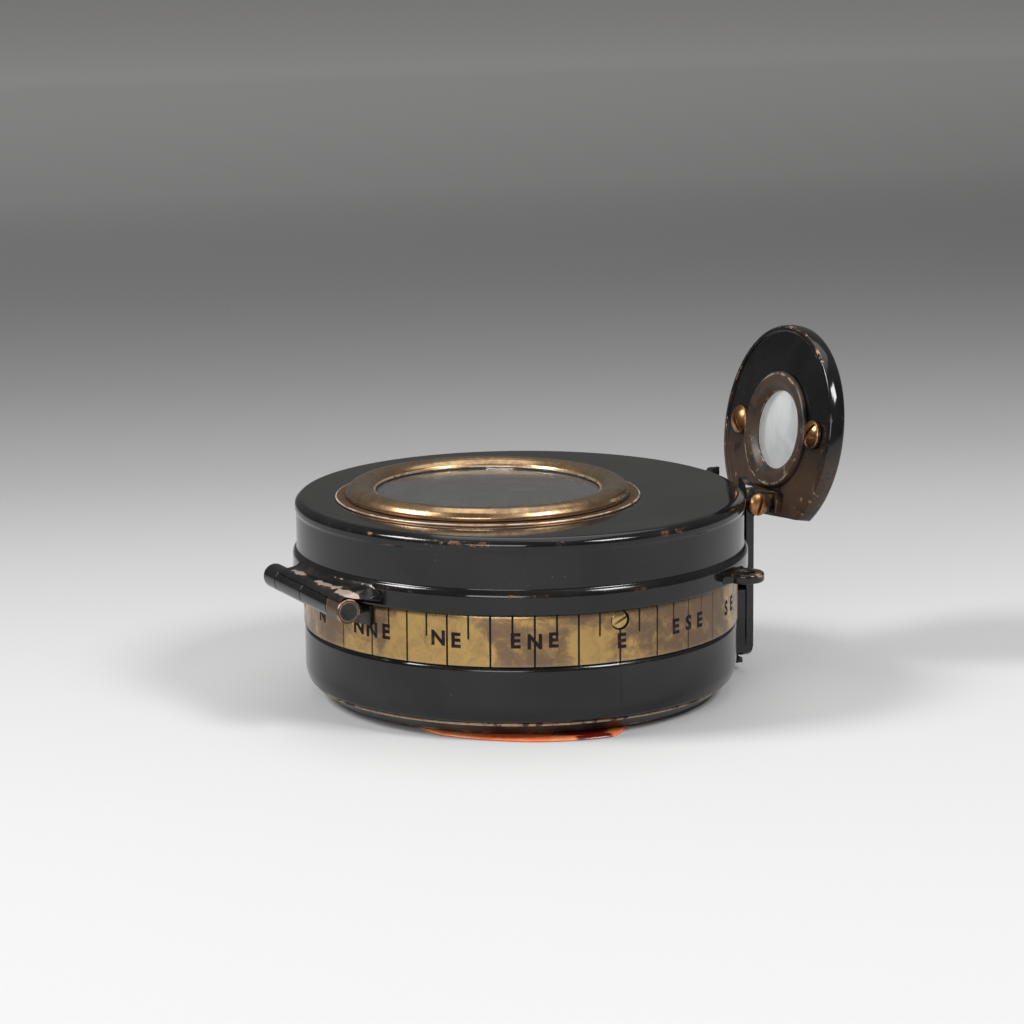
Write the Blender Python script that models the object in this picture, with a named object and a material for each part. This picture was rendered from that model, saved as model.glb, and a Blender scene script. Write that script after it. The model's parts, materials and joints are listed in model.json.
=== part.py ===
"""Pocket surveying compass: a drum case with a graduated brass band, a deep hinged lid with an
off-centre window, and a lens sight that folds over the lid and slides up and down to focus.

Frame: the origin is on the drum's axis at the resting plane, +Z is up, +X points to the lens
sight and -X to the lid hinge.  Lengths are in metres.
"""
import math

import bmesh
import bpy
from mathutils import Matrix, Vector

MM = 0.001

# Driving dimensions
RUNNING = 0.06 * MM             # radial clearance of pins that turn in their bores
SEAM = 0.10 * MM                # gap between fixed pieces that touch
FLOOR_Z = 1.7 * MM              # inside face of the base cover
CASE_BOTTOM = 2.35 * MM
CASE_R = 27.9 * MM              # lacquered lower part of the drum
SLEEVE_R = 27.25 * MM           # case wall under the band
MOUTH_R = 24.8 * MM             # bore of the sleeve around the glass
BAND_R = 28.0 * MM              # graduated band, outside
BAND_BOTTOM = 9.7 * MM
BAND_TOP = 16.2 * MM
BAND_SCREW_Z = 15.0 * MM
CARD_R = 22.3 * MM
CARD_Z = 10.4 * MM
LIFTER_X = 14.0 * MM            # pivot of the card lifter
LIFTER_Z = 8.1 * MM
LIFTER_PIN_R = 0.4 * MM
STUD_X = 25.75 * MM             # lift stud, in the case wall
STUD_R = 0.45 * MM

LID_R = 28.9 * MM
LID_RIM_R = 29.05 * MM
LID_FLANGE_R = 29.4 * MM
LID_BORE_R = 27.6 * MM
LID_SEAT_R = 25.4 * MM          # bore of the ring that the lid sits on the case with
LID_BOTTOM = 16.45 * MM
LID_TOP = 26.1 * MM
WINDOW_X = -4.6 * MM            # the window sits nearer to the lid hinge
BEZEL_R = 18.3 * MM
GLASS_VIEW_R = 14.5 * MM        # clear radius of the lid window
LUG_AZIMUTH = math.radians(-49)
LUG_MIDDLE = 30.85 * MM         # from the drum's axis to the middle of the lug's hole

LID_AXIS_X = -30.3 * MM
LID_AXIS_Z = 16.35 * MM
LID_BARREL_R = 1.6 * MM
LID_BARREL_Y = -2.0 * MM        # the hinge sits a little off the centre line
LID_BARREL_HALF = 11.7 * MM
LID_PIN_R = 0.75 * MM
CASE_KNUCKLES = ((8.1 * MM, 11.7 * MM), (-8.1 * MM, 0.0))       # along the barrel, from its middle
LID_KNUCKLES = ((0.1 * MM, 8.0 * MM), (-11.7 * MM, -8.2 * MM))

GUIDE_STEM_X = 28.05 * MM       # the guide is a T in plan: a stem on the case and a wider head
GUIDE_STEM_HALF = 2.3 * MM
GUIDE_HEAD_X = 29.15 * MM
GUIDE_HEAD_OUT = 29.95 * MM
GUIDE_HEAD_HALF = 3.9 * MM
GUIDE_TOP = 9.3 * MM
GUIDE_SCREW_Z = (4.3 * MM, 7.7 * MM)
STRAP_X = 30.1 * MM
STRAP_THICK = 1.1 * MM
STRAP_HALF = 5.8 * MM
STRAP_BOTTOM = 2.0 * MM
STRAP_TOP = 25.85 * MM
RAIL_OUT = 5.75 * MM            # outer sides of the strap's two rails
RAIL_TOP = 11.2 * MM
PRONG_INNER = 3.6 * MM          # half of the gap between the strap's prongs

SIGHT_AXIS_X = 31.6 * MM
SIGHT_AXIS_Z = 22.5 * MM
SIGHT_BARREL_R = 1.45 * MM
PIVOT_R = 0.7 * MM
SIGHT_LEAN = math.radians(9.7)  # the open sight leans outwards from the vertical
SIGHT_R = 14.0 * MM
SIGHT_RISE = 9.4 * MM           # from the pivot to the lens centre, along the plate
SIGHT_REACH = 4.8 * MM          # from the pivot to the plate's inner face
PLATE_AT = (SIGHT_RISE, 0, -SIGHT_REACH)
CHORD = 11.4 * MM               # from the lens centre to the plate's straight lower edge
CHORD_TURN = math.radians(5)
CLAMP_SCREW_R = 9.5 * MM        # from the lens centre to the clamp screws
CLAMP_TURN = math.radians(3)    # the screws' line is not quite level
LENS_BORE_R = 5.75 * MM
LENS_VIEW_R = 5.2 * MM

RING_STEPS = 48
LENS_STEPS = 28
SMALL_STEPS = 16
PIN_STEPS = 10

FINISHES = {
    "black_lacquer": ((0.022, 0.022, 0.024), 0.30, 0.0),
    "worn_brass": ((0.55, 0.38, 0.13), 0.35, 1.0),
    "band_brass": ((0.62, 0.44, 0.16), 0.42, 1.0),
    "steel": ((0.45, 0.45, 0.47), 0.35, 1.0),
    "glass": ((0.80, 0.84, 0.84), 0.05, 0.0),
    "paper": ((0.86, 0.84, 0.76), 0.80, 0.0),
    "jewel": ((0.45, 0.12, 0.10), 0.20, 0.0),
    "gasket": ((0.10, 0.09, 0.08), 0.85, 0.0),
    "red_pad": ((0.62, 0.10, 0.04), 0.30, 0.0),
}


def clear_scene():
    """Remove whatever the file opened with."""
    for obj in list(bpy.data.objects):
        bpy.data.objects.remove(obj, do_unlink=True)


def material(name, finish):
    """A Principled material of its own for one piece."""
    color, roughness, metallic = FINISHES[finish]
    made = bpy.data.materials.new(name)
    made.use_nodes = True
    shader = made.node_tree.nodes["Principled BSDF"]
    shader.inputs["Base Color"].default_value = (*color, 1.0)
    shader.inputs["Roughness"].default_value = roughness
    shader.inputs["Metallic"].default_value = metallic
    return made


def place(name, shape, finish=None, location=(0.0, 0.0, 0.0), parent=None):
    """Turn a bmesh into an object; the location is in the frame of its parent."""
    bmesh.ops.recalc_face_normals(shape, faces=shape.faces)
    mesh = bpy.data.meshes.new(name)
    shape.to_mesh(mesh)
    shape.free()
    mesh.shade_smooth()
    mesh.set_sharp_from_angle(angle=math.radians(35))
    obj = bpy.data.objects.new(name, mesh)
    bpy.context.scene.collection.objects.link(obj)
    if finish:
        mesh.materials.append(material(name, finish))
    obj.location = location
    obj.parent = parent
    return obj


def axis_empty(name, location, rotation=(0.0, 0.0, 0.0), parent=None):
    """A guide that stands on a joint's axis and carries the pieces that move about it."""
    empty = bpy.data.objects.new(name, None)
    bpy.context.scene.collection.objects.link(empty)
    empty.empty_display_size = 5 * MM
    empty.location = location
    empty.rotation_euler = rotation
    empty.parent = parent
    return empty


def arc(cx, cy, rx, ry, start, end, steps):
    """Points on an elliptical arc, angles in degrees."""
    points = []
    for i in range(steps + 1):
        angle = math.radians(start + (end - start) * i / steps)
        points.append((cx + rx * math.cos(angle), cy + ry * math.sin(angle)))
    return points


def rounded_rectangle(x0, y0, x1, y1, radius, steps=5):
    """Outline of a rectangle with round corners."""
    corners = ((x1, y1, 0), (x0, y1, 90), (x0, y0, 180), (x1, y0, 270))
    points = []
    for x, y, start in corners:
        cx = x - math.copysign(radius, x - (x0 + x1) / 2)
        cy = y - math.copysign(radius, y - (y0 + y1) / 2)
        points += arc(cx, cy, radius, radius, start, start + 90, steps)
    return points


def ring_sector(inner, outer, start, end, steps):
    """Outline of a part of a flat ring, angles in degrees."""
    return arc(0, 0, outer, outer, start, end, steps) + arc(0, 0, inner, inner, end, start, steps)


def turned(profile, steps=RING_STEPS):
    """Solid of revolution about Z from a closed (radius, height) profile."""
    shape = bmesh.new()
    turns = [2 * math.pi * (i + 0.5) / steps for i in range(steps)]
    rings = []
    for radius, height in profile:
        if radius < 1e-9:
            rings.append([shape.verts.new((0.0, 0.0, height))])
        else:
            spots = [(radius * math.cos(a), radius * math.sin(a), height) for a in turns]
            rings.append([shape.verts.new(spot) for spot in spots])
    for low, high in zip(rings, rings[1:] + rings[:1]):
        for i in range(steps):
            j = (i + 1) % steps
            corners = (low[i % len(low)], low[j % len(low)], high[j % len(high)], high[i % len(high)])
            corners = list(dict.fromkeys(corners))
            if len(corners) > 2:
                shape.faces.new(corners)
    return shape


def prism(outline, low, high):
    """Outline in XY, extruded from Z = low to Z = high."""
    shape = bmesh.new()
    bottom = [shape.verts.new((x, y, low)) for x, y in outline]
    top = [shape.verts.new((x, y, high)) for x, y in outline]
    shape.faces.new(bottom)
    shape.faces.new(top)
    for i in range(len(outline)):
        j = (i + 1) % len(outline)
        shape.faces.new((bottom[i], bottom[j], top[j], top[i]))
    return shape


def along_x(shape):
    """Turn a shape drawn with Z as its depth so that depth runs along X, and its X, Y become Y, Z."""
    turn = Matrix(((0, 0, 1, 0), (1, 0, 0, 0), (0, 1, 0, 0), (0, 0, 0, 1)))
    bmesh.ops.transform(shape, matrix=turn, verts=shape.verts)
    return shape


def along_y(shape):
    """Turn a shape drawn with Z as its depth so that depth runs along Y, and its X, Y become X, Z."""
    turn = Matrix(((1, 0, 0, 0), (0, 0, 1, 0), (0, 1, 0, 0), (0, 0, 0, 1)))
    bmesh.ops.transform(shape, matrix=turn, verts=shape.verts)
    return shape


def box(low, high):
    """Box between two corners."""
    outline = [(low[0], low[1]), (high[0], low[1]), (high[0], high[1]), (low[0], high[1])]
    return prism(outline, low[2], high[2])


def disc(radius, low, high, steps=RING_STEPS):
    """Solid disc about Z."""
    return turned([(0, low), (radius, low), (radius, high), (0, high)], steps)


def hoop(inner, outer, low, high, steps=RING_STEPS):
    """Plain ring about Z with a square section."""
    return turned([(inner, low), (outer, low), (outer, high), (inner, high)], steps)


def rod(start, end, radius, steps=PIN_STEPS):
    """Round bar between two points."""
    start, end = Vector(start), Vector(end)
    shape = disc(radius, 0, (end - start).length, steps)
    turn = (end - start).to_track_quat("Z", "Y").to_matrix().to_4x4()
    bmesh.ops.transform(shape, matrix=Matrix.Translation(start) @ turn, verts=shape.verts)
    return shape


def rod_y(x, z, y0, y1, radius, steps=PIN_STEPS):
    """Round bar along Y."""
    return rod((x, y0, z), (x, y1, z), radius, steps)


def boolean(obj, tool_shape, operation):
    """Cut a tool from an object, or join it on. The tool is in the object's own frame."""
    name = f"{operation.lower()}_{obj.name}_{len(obj.modifiers)}"
    tool = place(name, tool_shape, None, parent=obj)
    tool.hide_render = True
    tool.display_type = "WIRE"
    modifier = obj.modifiers.new(name, "BOOLEAN")
    modifier.operation = operation
    modifier.solver = "EXACT"
    modifier.object = tool


def cut(obj, tool_shape):
    boolean(obj, tool_shape, "DIFFERENCE")


def join(obj, tool_shape):
    boolean(obj, tool_shape, "UNION")


def slotted_screw(name, head, shank, slot_width, slot_angle, dome, parent=None):
    """Slotted screw; head and shank are (radius, length). The head starts at Z = 0 and faces +Z."""
    radius, height = head
    shank_r, shank_l = shank
    profile = [(0, height), (radius * 0.6, height - dome * 0.35), (radius * 0.9, height - dome * 0.85)]
    profile += [(radius, height - dome * 1.2), (radius, 0), (shank_r, 0), (shank_r, -shank_l), (0, -shank_l)]
    screw = place(name, turned(profile, SMALL_STEPS), "worn_brass", parent=parent)
    slot_depth = 0.42 * MM
    low = (-2 * radius, -slot_width / 2, height - slot_depth)
    slot = box(low, (2 * radius, slot_width / 2, height + radius))
    bmesh.ops.rotate(slot, matrix=Matrix.Rotation(slot_angle, 3, "Z"), verts=slot.verts)
    cut(screw, slot)
    return screw


# ---------------------------------------------------------------- case

def base_pad():
    """Thin red pad under the base; its edge has crept out past the base on one side."""
    edge = []
    steps = 72
    for i in range(steps):
        degrees = -180 + 360 * i / steps
        rise = smooth_step((degrees + 153) / 14)
        fall = 1 - smooth_step((degrees + 97) / 12)
        creep = (2.1 + 1.9 * smooth_step((degrees + 145) / 45)) * rise * fall
        radius = (23.6 + creep + 0.12 * math.sin(math.radians(5 * degrees))) * MM
        edge.append((radius * math.cos(math.radians(degrees)), radius * math.sin(math.radians(degrees))))
    return place("base_pad", prism(edge, 0, 0.35 * MM), "red_pad")


def smooth_step(value):
    value = max(0.0, min(1.0, value))
    return value * value * (3 - 2 * value)


def base_cover():
    """Turned base with a chamfered rim and a spigot that enters the case."""
    under = 0.45 * MM
    top = 2.25 * MM
    profile = [(0, under), (24.6 * MM, under), (25.1 * MM, 0.6 * MM), (26.9 * MM, 2.05 * MM)]
    profile += [(26.95 * MM, top), (26.25 * MM, top), (26.25 * MM, 3.9 * MM), (25.2 * MM, 3.9 * MM)]
    profile += [(25.2 * MM, FLOOR_Z), (0, FLOOR_Z)]
    return place("base_cover", turned(profile), "black_lacquer")


def case_shell():
    """Wall of the case: the lacquered lower drum and the thinner sleeve that carries the band."""
    shoulder = 9.6 * MM
    shelf_r = 23.2 * MM
    shelf_z = 13.2 * MM
    bore = 26.4 * MM
    profile = [(27.0 * MM, CASE_BOTTOM), (27.45 * MM, 2.6 * MM), (27.75 * MM, 3.1 * MM), (CASE_R, 3.9 * MM)]
    profile += [(CASE_R, 9.1 * MM), (CASE_R - 0.15 * MM, 9.45 * MM), (SLEEVE_R, shoulder)]
    profile += [(SLEEVE_R, 16.3 * MM), (MOUTH_R, 16.3 * MM), (MOUTH_R, shelf_z)]
    profile += [(shelf_r, shelf_z), (shelf_r, 12.0 * MM), (bore, 12.0 * MM), (bore, CASE_BOTTOM)]
    shell = place("case_shell", turned(profile), "black_lacquer")
    screw_hole = 0.7 * MM
    cut(shell, rod((STUD_X, 0, 11.5 * MM), (STUD_X, 0, 18 * MM), STUD_R + RUNNING))
    cut(shell, rod_y(0, BAND_SCREW_Z, -29 * MM, -25.2 * MM, screw_hole))
    for height in GUIDE_SCREW_Z:
        cut(shell, rod((25.5 * MM, 0, height), (29 * MM, 0, height), screw_hole))
    return shell


def bearing_band():
    """Brass band with the compass points, slipped over the sleeve."""
    inner = SLEEVE_R + SEAM
    edge = 0.12 * MM
    profile = [(inner, BAND_BOTTOM), (BAND_R - edge, BAND_BOTTOM), (BAND_R, BAND_BOTTOM + edge)]
    profile += [(BAND_R, BAND_TOP - edge), (BAND_R - edge, BAND_TOP), (inner, BAND_TOP)]
    band = place("bearing_band", turned(profile), "band_brass")
    cut(band, rod_y(0, BAND_SCREW_Z, -30 * MM, -25 * MM, 1.27 * MM, SMALL_STEPS))
    return band


def band_screw():
    """Flush slotted screw that fixes the band to the case."""
    screw = slotted_screw("band_screw", (1.17 * MM, 0.6 * MM), (0.6 * MM, 1.9 * MM), 0.35 * MM,
                          math.radians(40), 0.1 * MM)
    screw.location = (0, -27.42 * MM, BAND_SCREW_Z)
    screw.rotation_euler = (math.radians(90), 0, 0)
    return screw


def glass_stack():
    """Gasket, glass and retaining ring in the mouth of the case."""
    mouth = MOUTH_R - SEAM
    place("glass_gasket", hoop(23.4 * MM, mouth, 13.3 * MM, 13.6 * MM), "gasket")
    place("case_glass", disc(mouth, 13.7 * MM, 14.9 * MM), "glass")
    place("glass_ring", hoop(23.2 * MM, mouth, 15.0 * MM, 16.2 * MM), "worn_brass")


def pivot_post():
    """Post with the hardened point that the card turns on."""
    foot = FLOOR_Z + SEAM
    foot_r, stem_r, point_r = 3.0 * MM, 1.1 * MM, 0.45 * MM
    shoulder = 6.0 * MM  # below the lifter's collar at the bottom of its travel
    profile = [(0, foot), (foot_r, foot), (foot_r, foot + 0.9 * MM), (stem_r, foot + 1.3 * MM)]
    profile += [(stem_r, shoulder), (point_r, shoulder + 0.3 * MM), (point_r, 9.9 * MM), (0, 10.92 * MM)]
    return place("pivot_post", turned(profile, SMALL_STEPS), "worn_brass")


# ---------------------------------------------------------------- compass card

def compass_card(axis):
    """Card, its two bar magnets and the jewelled cap, all turning on the pivot point."""
    place("compass_card", hoop(2.3 * MM, CARD_R, CARD_Z, CARD_Z + 0.4 * MM), "paper", parent=axis)
    for name, side in (("card_magnet_a", 1), ("card_magnet_b", -1)):
        middle = side * 6 * MM
        low = (-14 * MM, middle - 1.2 * MM, 9.3 * MM)
        high = (14 * MM, middle + 1.2 * MM, CARD_Z - SEAM)
        place(name, box(low, high), "steel", parent=axis)
    profile = [(1.2 * MM, 9.6 * MM), (2.2 * MM, 9.6 * MM), (2.2 * MM, 10.9 * MM), (3.2 * MM, 10.9 * MM)]
    profile += [(3.2 * MM, 11.2 * MM), (2.2 * MM, 11.3 * MM), (1.4 * MM, 12.0 * MM), (0, 12.1 * MM)]
    profile += [(0, 11.5 * MM), (1.2 * MM, 11.5 * MM)]
    place("card_cap", turned(profile, SMALL_STEPS), "worn_brass", parent=axis)
    profile = [(0.95 * MM, 9.9 * MM), (1.1 * MM, 9.9 * MM), (1.1 * MM, 11.4 * MM), (0, 11.4 * MM)]
    profile += [(0, 11.0 * MM)]
    place("card_jewel", turned(profile, SMALL_STEPS), "jewel", parent=axis)


# ---------------------------------------------------------------- card lifter

def lifter_bracket():
    """Two ears on the floor of the case that hold the lifter's pin."""
    foot = FLOOR_Z + SEAM
    low = (LIFTER_X - 1.6 * MM, -2.4 * MM, foot)
    high = (LIFTER_X + 1.6 * MM, 2.4 * MM, foot + 0.8 * MM)
    bracket = place("lifter_bracket", box(low, high), "worn_brass")
    ear_r = 0.9 * MM
    ear = [(LIFTER_X - ear_r, foot + 0.4 * MM), (LIFTER_X + ear_r, foot + 0.4 * MM)]
    ear += arc(LIFTER_X, LIFTER_Z, ear_r, ear_r, 0, 180, 8)
    for inner, outer in ((1.5 * MM, 2.3 * MM), (-2.3 * MM, -1.5 * MM)):
        join(bracket, along_y(prism(ear, inner, outer)))
    cut(bracket, rod_y(LIFTER_X, LIFTER_Z, -4 * MM, 4 * MM, LIFTER_PIN_R + RUNNING))
    place("lifter_pin", rod_y(LIFTER_X, LIFTER_Z, -2.25 * MM, 2.25 * MM, LIFTER_PIN_R), "steel")


def lifter_lever(axis):
    """Lever that lifts the card off its point while the closed lid holds the stud down."""
    reach_in = 1.9 * MM - LIFTER_X
    reach_out = 26.1 * MM - LIFTER_X
    bar = box((reach_in, -1.2 * MM, -0.4 * MM), (reach_out, 1.2 * MM, 0.4 * MM))
    lever = place("lifter_lever", bar, "worn_brass", parent=axis)
    eye_r = 0.9 * MM
    join(lever, along_y(prism(arc(0, 0, eye_r, eye_r, 0, 342, 19), -1.25 * MM, 1.25 * MM)))
    cut(lever, rod_y(0, 0, -3 * MM, 3 * MM, LIFTER_PIN_R + RUNNING))
    profile = [(0, -0.33 * MM), (2.7 * MM, -0.33 * MM), (2.7 * MM, 0.95 * MM), (2.1 * MM, 1.3 * MM)]
    collar = turned(profile + [(0, 1.3 * MM)], SMALL_STEPS)
    bmesh.ops.translate(collar, vec=(-LIFTER_X, 0, 0), verts=collar.verts)
    join(lever, collar)
    cut(lever, rod((-LIFTER_X, 0, -2 * MM), (-LIFTER_X, 0, 3 * MM), 1.35 * MM, SMALL_STEPS))


def lift_stud():
    """Pin through the case wall between the lid and the lifter's outer end."""
    shape = rod((0, 0, LIFTER_Z + 0.5 * MM), (0, 0, LID_BOTTOM - SEAM), STUD_R)
    return place("lift_stud", shape, "steel", (STUD_X, 0, 0))


# ---------------------------------------------------------------- lid hinge

def lid_barrel(start, end, grow=0.0):
    """A length of the lid hinge's barrel, in world position."""
    low, high = LID_BARREL_Y + start - grow, LID_BARREL_Y + end + grow
    return rod_y(LID_AXIS_X, LID_AXIS_Z, low, high, LID_BARREL_R + grow, SMALL_STEPS)


def lid_pin_bore():
    """Long tool that opens the bore of the lid hinge."""
    return rod_y(LID_AXIS_X, LID_AXIS_Z, -20 * MM, 20 * MM, LID_PIN_R + RUNNING)


def case_hinge_leaf():
    """Thin leaf against the band, with two knuckles of the hinge on short webs."""
    low, high = 13.6 * MM, BAND_TOP + 0.08 * MM
    inner = BAND_R + SEAM
    outline = ring_sector(inner, 28.55 * MM, 160, 203, 14)
    leaf = place("case_hinge_leaf", prism(outline, low, high), "black_lacquer")
    inset = 0.15 * MM
    for start, end in CASE_KNUCKLES:
        web_low = (LID_AXIS_X, LID_BARREL_Y + start + inset, 15.0 * MM)
        web_high = (-25.5 * MM, LID_BARREL_Y + end - inset, high - SEAM)
        join(leaf, box(web_low, web_high))
        join(leaf, lid_barrel(start, end))
    cut(leaf, disc(inner, 10 * MM, 20 * MM))
    cut(leaf, lid_pin_bore())
    return leaf


def lid_hinge_leaf(axis):
    """Leaf soldered to the lid's flange, arching over the barrel, with the lid's two knuckles."""
    slope = [(-31.1 * MM, 17.6 * MM), (-30.6 * MM, 18.25 * MM), (-29.9 * MM, 18.8 * MM)]
    slope += [(-29.2 * MM, 19.0 * MM), (-24.0 * MM, 19.0 * MM), (-24.0 * MM, 16.6 * MM)]
    slope += [(LID_AXIS_X, 16.6 * MM)]
    start = LID_BARREL_Y + LID_KNUCKLES[1][0] + 0.05 * MM
    end = LID_BARREL_Y + LID_KNUCKLES[0][1] - 0.05 * MM
    leaf = place("lid_hinge_leaf", along_y(prism(slope, start, end)), "black_lacquer", -axis.location, axis)
    cut(leaf, disc(LID_FLANGE_R + SEAM, 10 * MM, 30 * MM))
    for start, end in CASE_KNUCKLES:
        cut(leaf, lid_barrel(start, end, 0.15 * MM))
        low = (-34 * MM, LID_BARREL_Y + start - 0.1 * MM, 14 * MM)
        high = (LID_AXIS_X, LID_BARREL_Y + end + 0.1 * MM, 17.9 * MM)
        cut(leaf, box(low, high))
    for start, end in LID_KNUCKLES:
        join(leaf, lid_barrel(start, end))
    cut(leaf, lid_pin_bore())
    return leaf


def lid_hinge_pin():
    """Pin of the lid hinge, fixed in the case's knuckles."""
    low = LID_BARREL_Y - LID_BARREL_HALF + SEAM
    high = LID_BARREL_Y + LID_BARREL_HALF - SEAM
    return place("lid_hinge_pin", rod_y(LID_AXIS_X, LID_AXIS_Z, low, high, LID_PIN_R), "worn_brass")


# ---------------------------------------------------------------- lid

def lid_shell(axis):
    """Deep turned lid with a raised top rim, a bottom flange and an off-centre window hole."""
    round_r = 1.0 * MM
    profile = [(0, LID_TOP)]
    profile += arc(LID_RIM_R - round_r, LID_TOP - round_r, round_r, round_r, 90, 0, 3)
    profile += [(LID_RIM_R, 24.6 * MM), (LID_R, 24.3 * MM), (LID_R, 19.55 * MM)]
    profile += arc(LID_FLANGE_R - 0.4 * MM, 18.95 * MM, 0.4 * MM, 0.35 * MM, 80, 0, 2)
    profile += [(LID_FLANGE_R, LID_BOTTOM + 0.2 * MM), (29.2 * MM, LID_BOTTOM), (LID_SEAT_R, LID_BOTTOM)]
    profile += [(LID_SEAT_R, 17.5 * MM), (LID_BORE_R, 17.9 * MM), (LID_BORE_R, 24.3 * MM)]
    profile += [(27.0 * MM, 24.9 * MM), (0, 24.9 * MM)]
    lid = place("lid_shell", turned(profile), "black_lacquer", -axis.location, axis)
    cut(lid, rod((WINDOW_X, 0, 20 * MM), (WINDOW_X, 0, 30 * MM), 15.9 * MM, RING_STEPS))
    cut(lid, lid_barrel(-LID_BARREL_HALF - SEAM, LID_BARREL_HALF + SEAM, 0.16 * MM))
    return lid


def lid_window(axis):
    """Washer, bezel, glass, retaining ring and sighting line, centred on the window."""
    centre = Vector((WINDOW_X, 0, 0)) - axis.location
    seat = 26.46 * MM
    low, high, inner = 26.16 * MM, 26.38 * MM, 16.0 * MM
    washer = [(inner, low), (19.6 * MM, low), (19.5 * MM, high), (inner, high)]
    place("window_washer", turned(washer), "worn_brass", centre, axis)
    spread = (BEZEL_R - GLASS_VIEW_R) / 2
    bezel = [(18.1 * MM, seat)] + arc(BEZEL_R - spread, 26.9 * MM, spread, 1.1 * MM, 0, 180, 6)
    bezel += [(15.1 * MM, 26.85 * MM), (15.1 * MM, 24.0 * MM), (15.8 * MM, 24.0 * MM), (15.8 * MM, seat)]
    place("window_bezel", turned(bezel), "worn_brass", centre, axis)
    place("window_glass", disc(15.0 * MM, 25.85 * MM, 26.75 * MM), "glass", centre, axis)
    place("window_retainer", hoop(13.8 * MM, 15.0 * MM, 24.3 * MM, 25.75 * MM), "worn_brass", centre, axis)
    line = box((-13.6 * MM, -0.15 * MM, 25.5 * MM), (13.6 * MM, 0.15 * MM, 25.7 * MM))
    place("sighting_line", line, "black_lacquer", centre, axis)


def lid_lug(axis):
    """Flat ring on the flange that the thumb lifts the lid by."""
    hole, outer, edge = 1.05 * MM, 2.45 * MM, 0.2 * MM
    low, high = 16.9 * MM, 18.1 * MM
    profile = [(hole, low), (outer - edge, low), (outer, low + edge), (outer, high - edge)]
    profile += [(outer - edge, high), (hole, high)]
    ring = turned(profile, 20)
    spot = (LUG_MIDDLE * math.cos(LUG_AZIMUTH), LUG_MIDDLE * math.sin(LUG_AZIMUTH), 0)
    bmesh.ops.translate(ring, vec=spot, verts=ring.verts)
    lug = place("lid_lug", ring, "black_lacquer", -axis.location, axis)
    cut(lug, disc(LID_FLANGE_R + SEAM, 10 * MM, 30 * MM))
    return lug


# ---------------------------------------------------------------- sliding strap

def sight_guide():
    """T-shaped guide on the case for the sliding strap, with a foot that stops it."""
    half = GUIDE_HEAD_HALF
    foot_z, foot_top = 0.9 * MM, 1.55 * MM
    step = 0.05 * MM
    head = box((GUIDE_HEAD_X, -half, foot_z + step), (GUIDE_HEAD_OUT, half, GUIDE_TOP))
    guide = place("sight_guide", head, "black_lacquer")
    stem_low = (GUIDE_STEM_X, -GUIDE_STEM_HALF, 3.4 * MM)
    join(guide, box(stem_low, (GUIDE_HEAD_X + 0.3 * MM, GUIDE_STEM_HALF, GUIDE_TOP)))
    foot_low = (GUIDE_HEAD_X + step, step - half, foot_z)
    join(guide, box(foot_low, (30.7 * MM, half - step, foot_top)))
    counterbore = 29.4 * MM
    for height in GUIDE_SCREW_Z:
        cut(guide, rod((26 * MM, 0, height), (31 * MM, 0, height), 0.7 * MM))
        cut(guide, rod((counterbore, 0, height), (31 * MM, 0, height), 1.2 * MM, SMALL_STEPS))
    for name, height in zip(("guide_screw_low", "guide_screw_high"), GUIDE_SCREW_Z):
        screw = slotted_screw(name, (1.1 * MM, 0.45 * MM), (0.6 * MM, 2.4 * MM), 0.35 * MM,
                              math.radians(25), 0.1 * MM)
        screw.location = (counterbore + 0.07 * MM, 0, height)
        screw.rotation_euler = (0, math.radians(90), 0)
    return guide


def sight_strap(axis):
    """Upright strap that slides on the guide; its two prongs carry the sight's pivot."""
    outline = rounded_rectangle(-STRAP_HALF, STRAP_BOTTOM, STRAP_HALF, STRAP_TOP, 1.9 * MM)
    sheet = along_x(prism(outline, STRAP_X, STRAP_X + STRAP_THICK))
    strap = place("sight_strap", sheet, "black_lacquer", -axis.location, axis)
    slot_low = (28 * MM, -PRONG_INNER, SIGHT_AXIS_Z - 1.7 * MM)
    cut(strap, box(slot_low, (33 * MM, PRONG_INNER, 30 * MM)))
    lip_in = GUIDE_STEM_HALF + SEAM
    rail_in = GUIDE_HEAD_HALF + SEAM
    rail_x = 28.6 * MM
    inset = 0.02 * MM
    for side in (-1, 1):
        low, high = sorted((side * PRONG_INNER, side * (STRAP_HALF - inset)))
        join(strap, rod_y(SIGHT_AXIS_X, SIGHT_AXIS_Z, low, high, SIGHT_BARREL_R, SMALL_STEPS))
        low, high = sorted((side * rail_in, side * RAIL_OUT))
        join(strap, box((rail_x, low, 2.7 * MM), (STRAP_X + 0.3 * MM, high, RAIL_TOP)))
        low, high = sorted((side * lip_in, side * (rail_in + 0.3 * MM)))
        join(strap, box((rail_x + inset, low, 2.75 * MM), (GUIDE_HEAD_X - SEAM, high, RAIL_TOP - inset)))
    cut(strap, rod_y(SIGHT_AXIS_X, SIGHT_AXIS_Z, -12 * MM, 12 * MM, PIVOT_R + RUNNING))
    return strap


def pivot_screw(axis):
    """Slotted screw through both prongs, which the sight turns on."""
    length = 2 * STRAP_HALF - 0.2 * MM
    screw = slotted_screw("pivot_screw", (1.45 * MM, 1.05 * MM), (PIVOT_R, length), 0.45 * MM,
                          math.radians(72), 0.35 * MM, axis)
    screw.location = Vector((SIGHT_AXIS_X, -STRAP_HALF - 0.06 * MM, SIGHT_AXIS_Z)) - axis.location
    screw.rotation_euler = (math.radians(90), 0, 0)
    return screw


# ---------------------------------------------------------------- folding sight
# In the sight's own frame the origin is the pivot, +X runs up the plate and +Z leaves its inner face.

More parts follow.
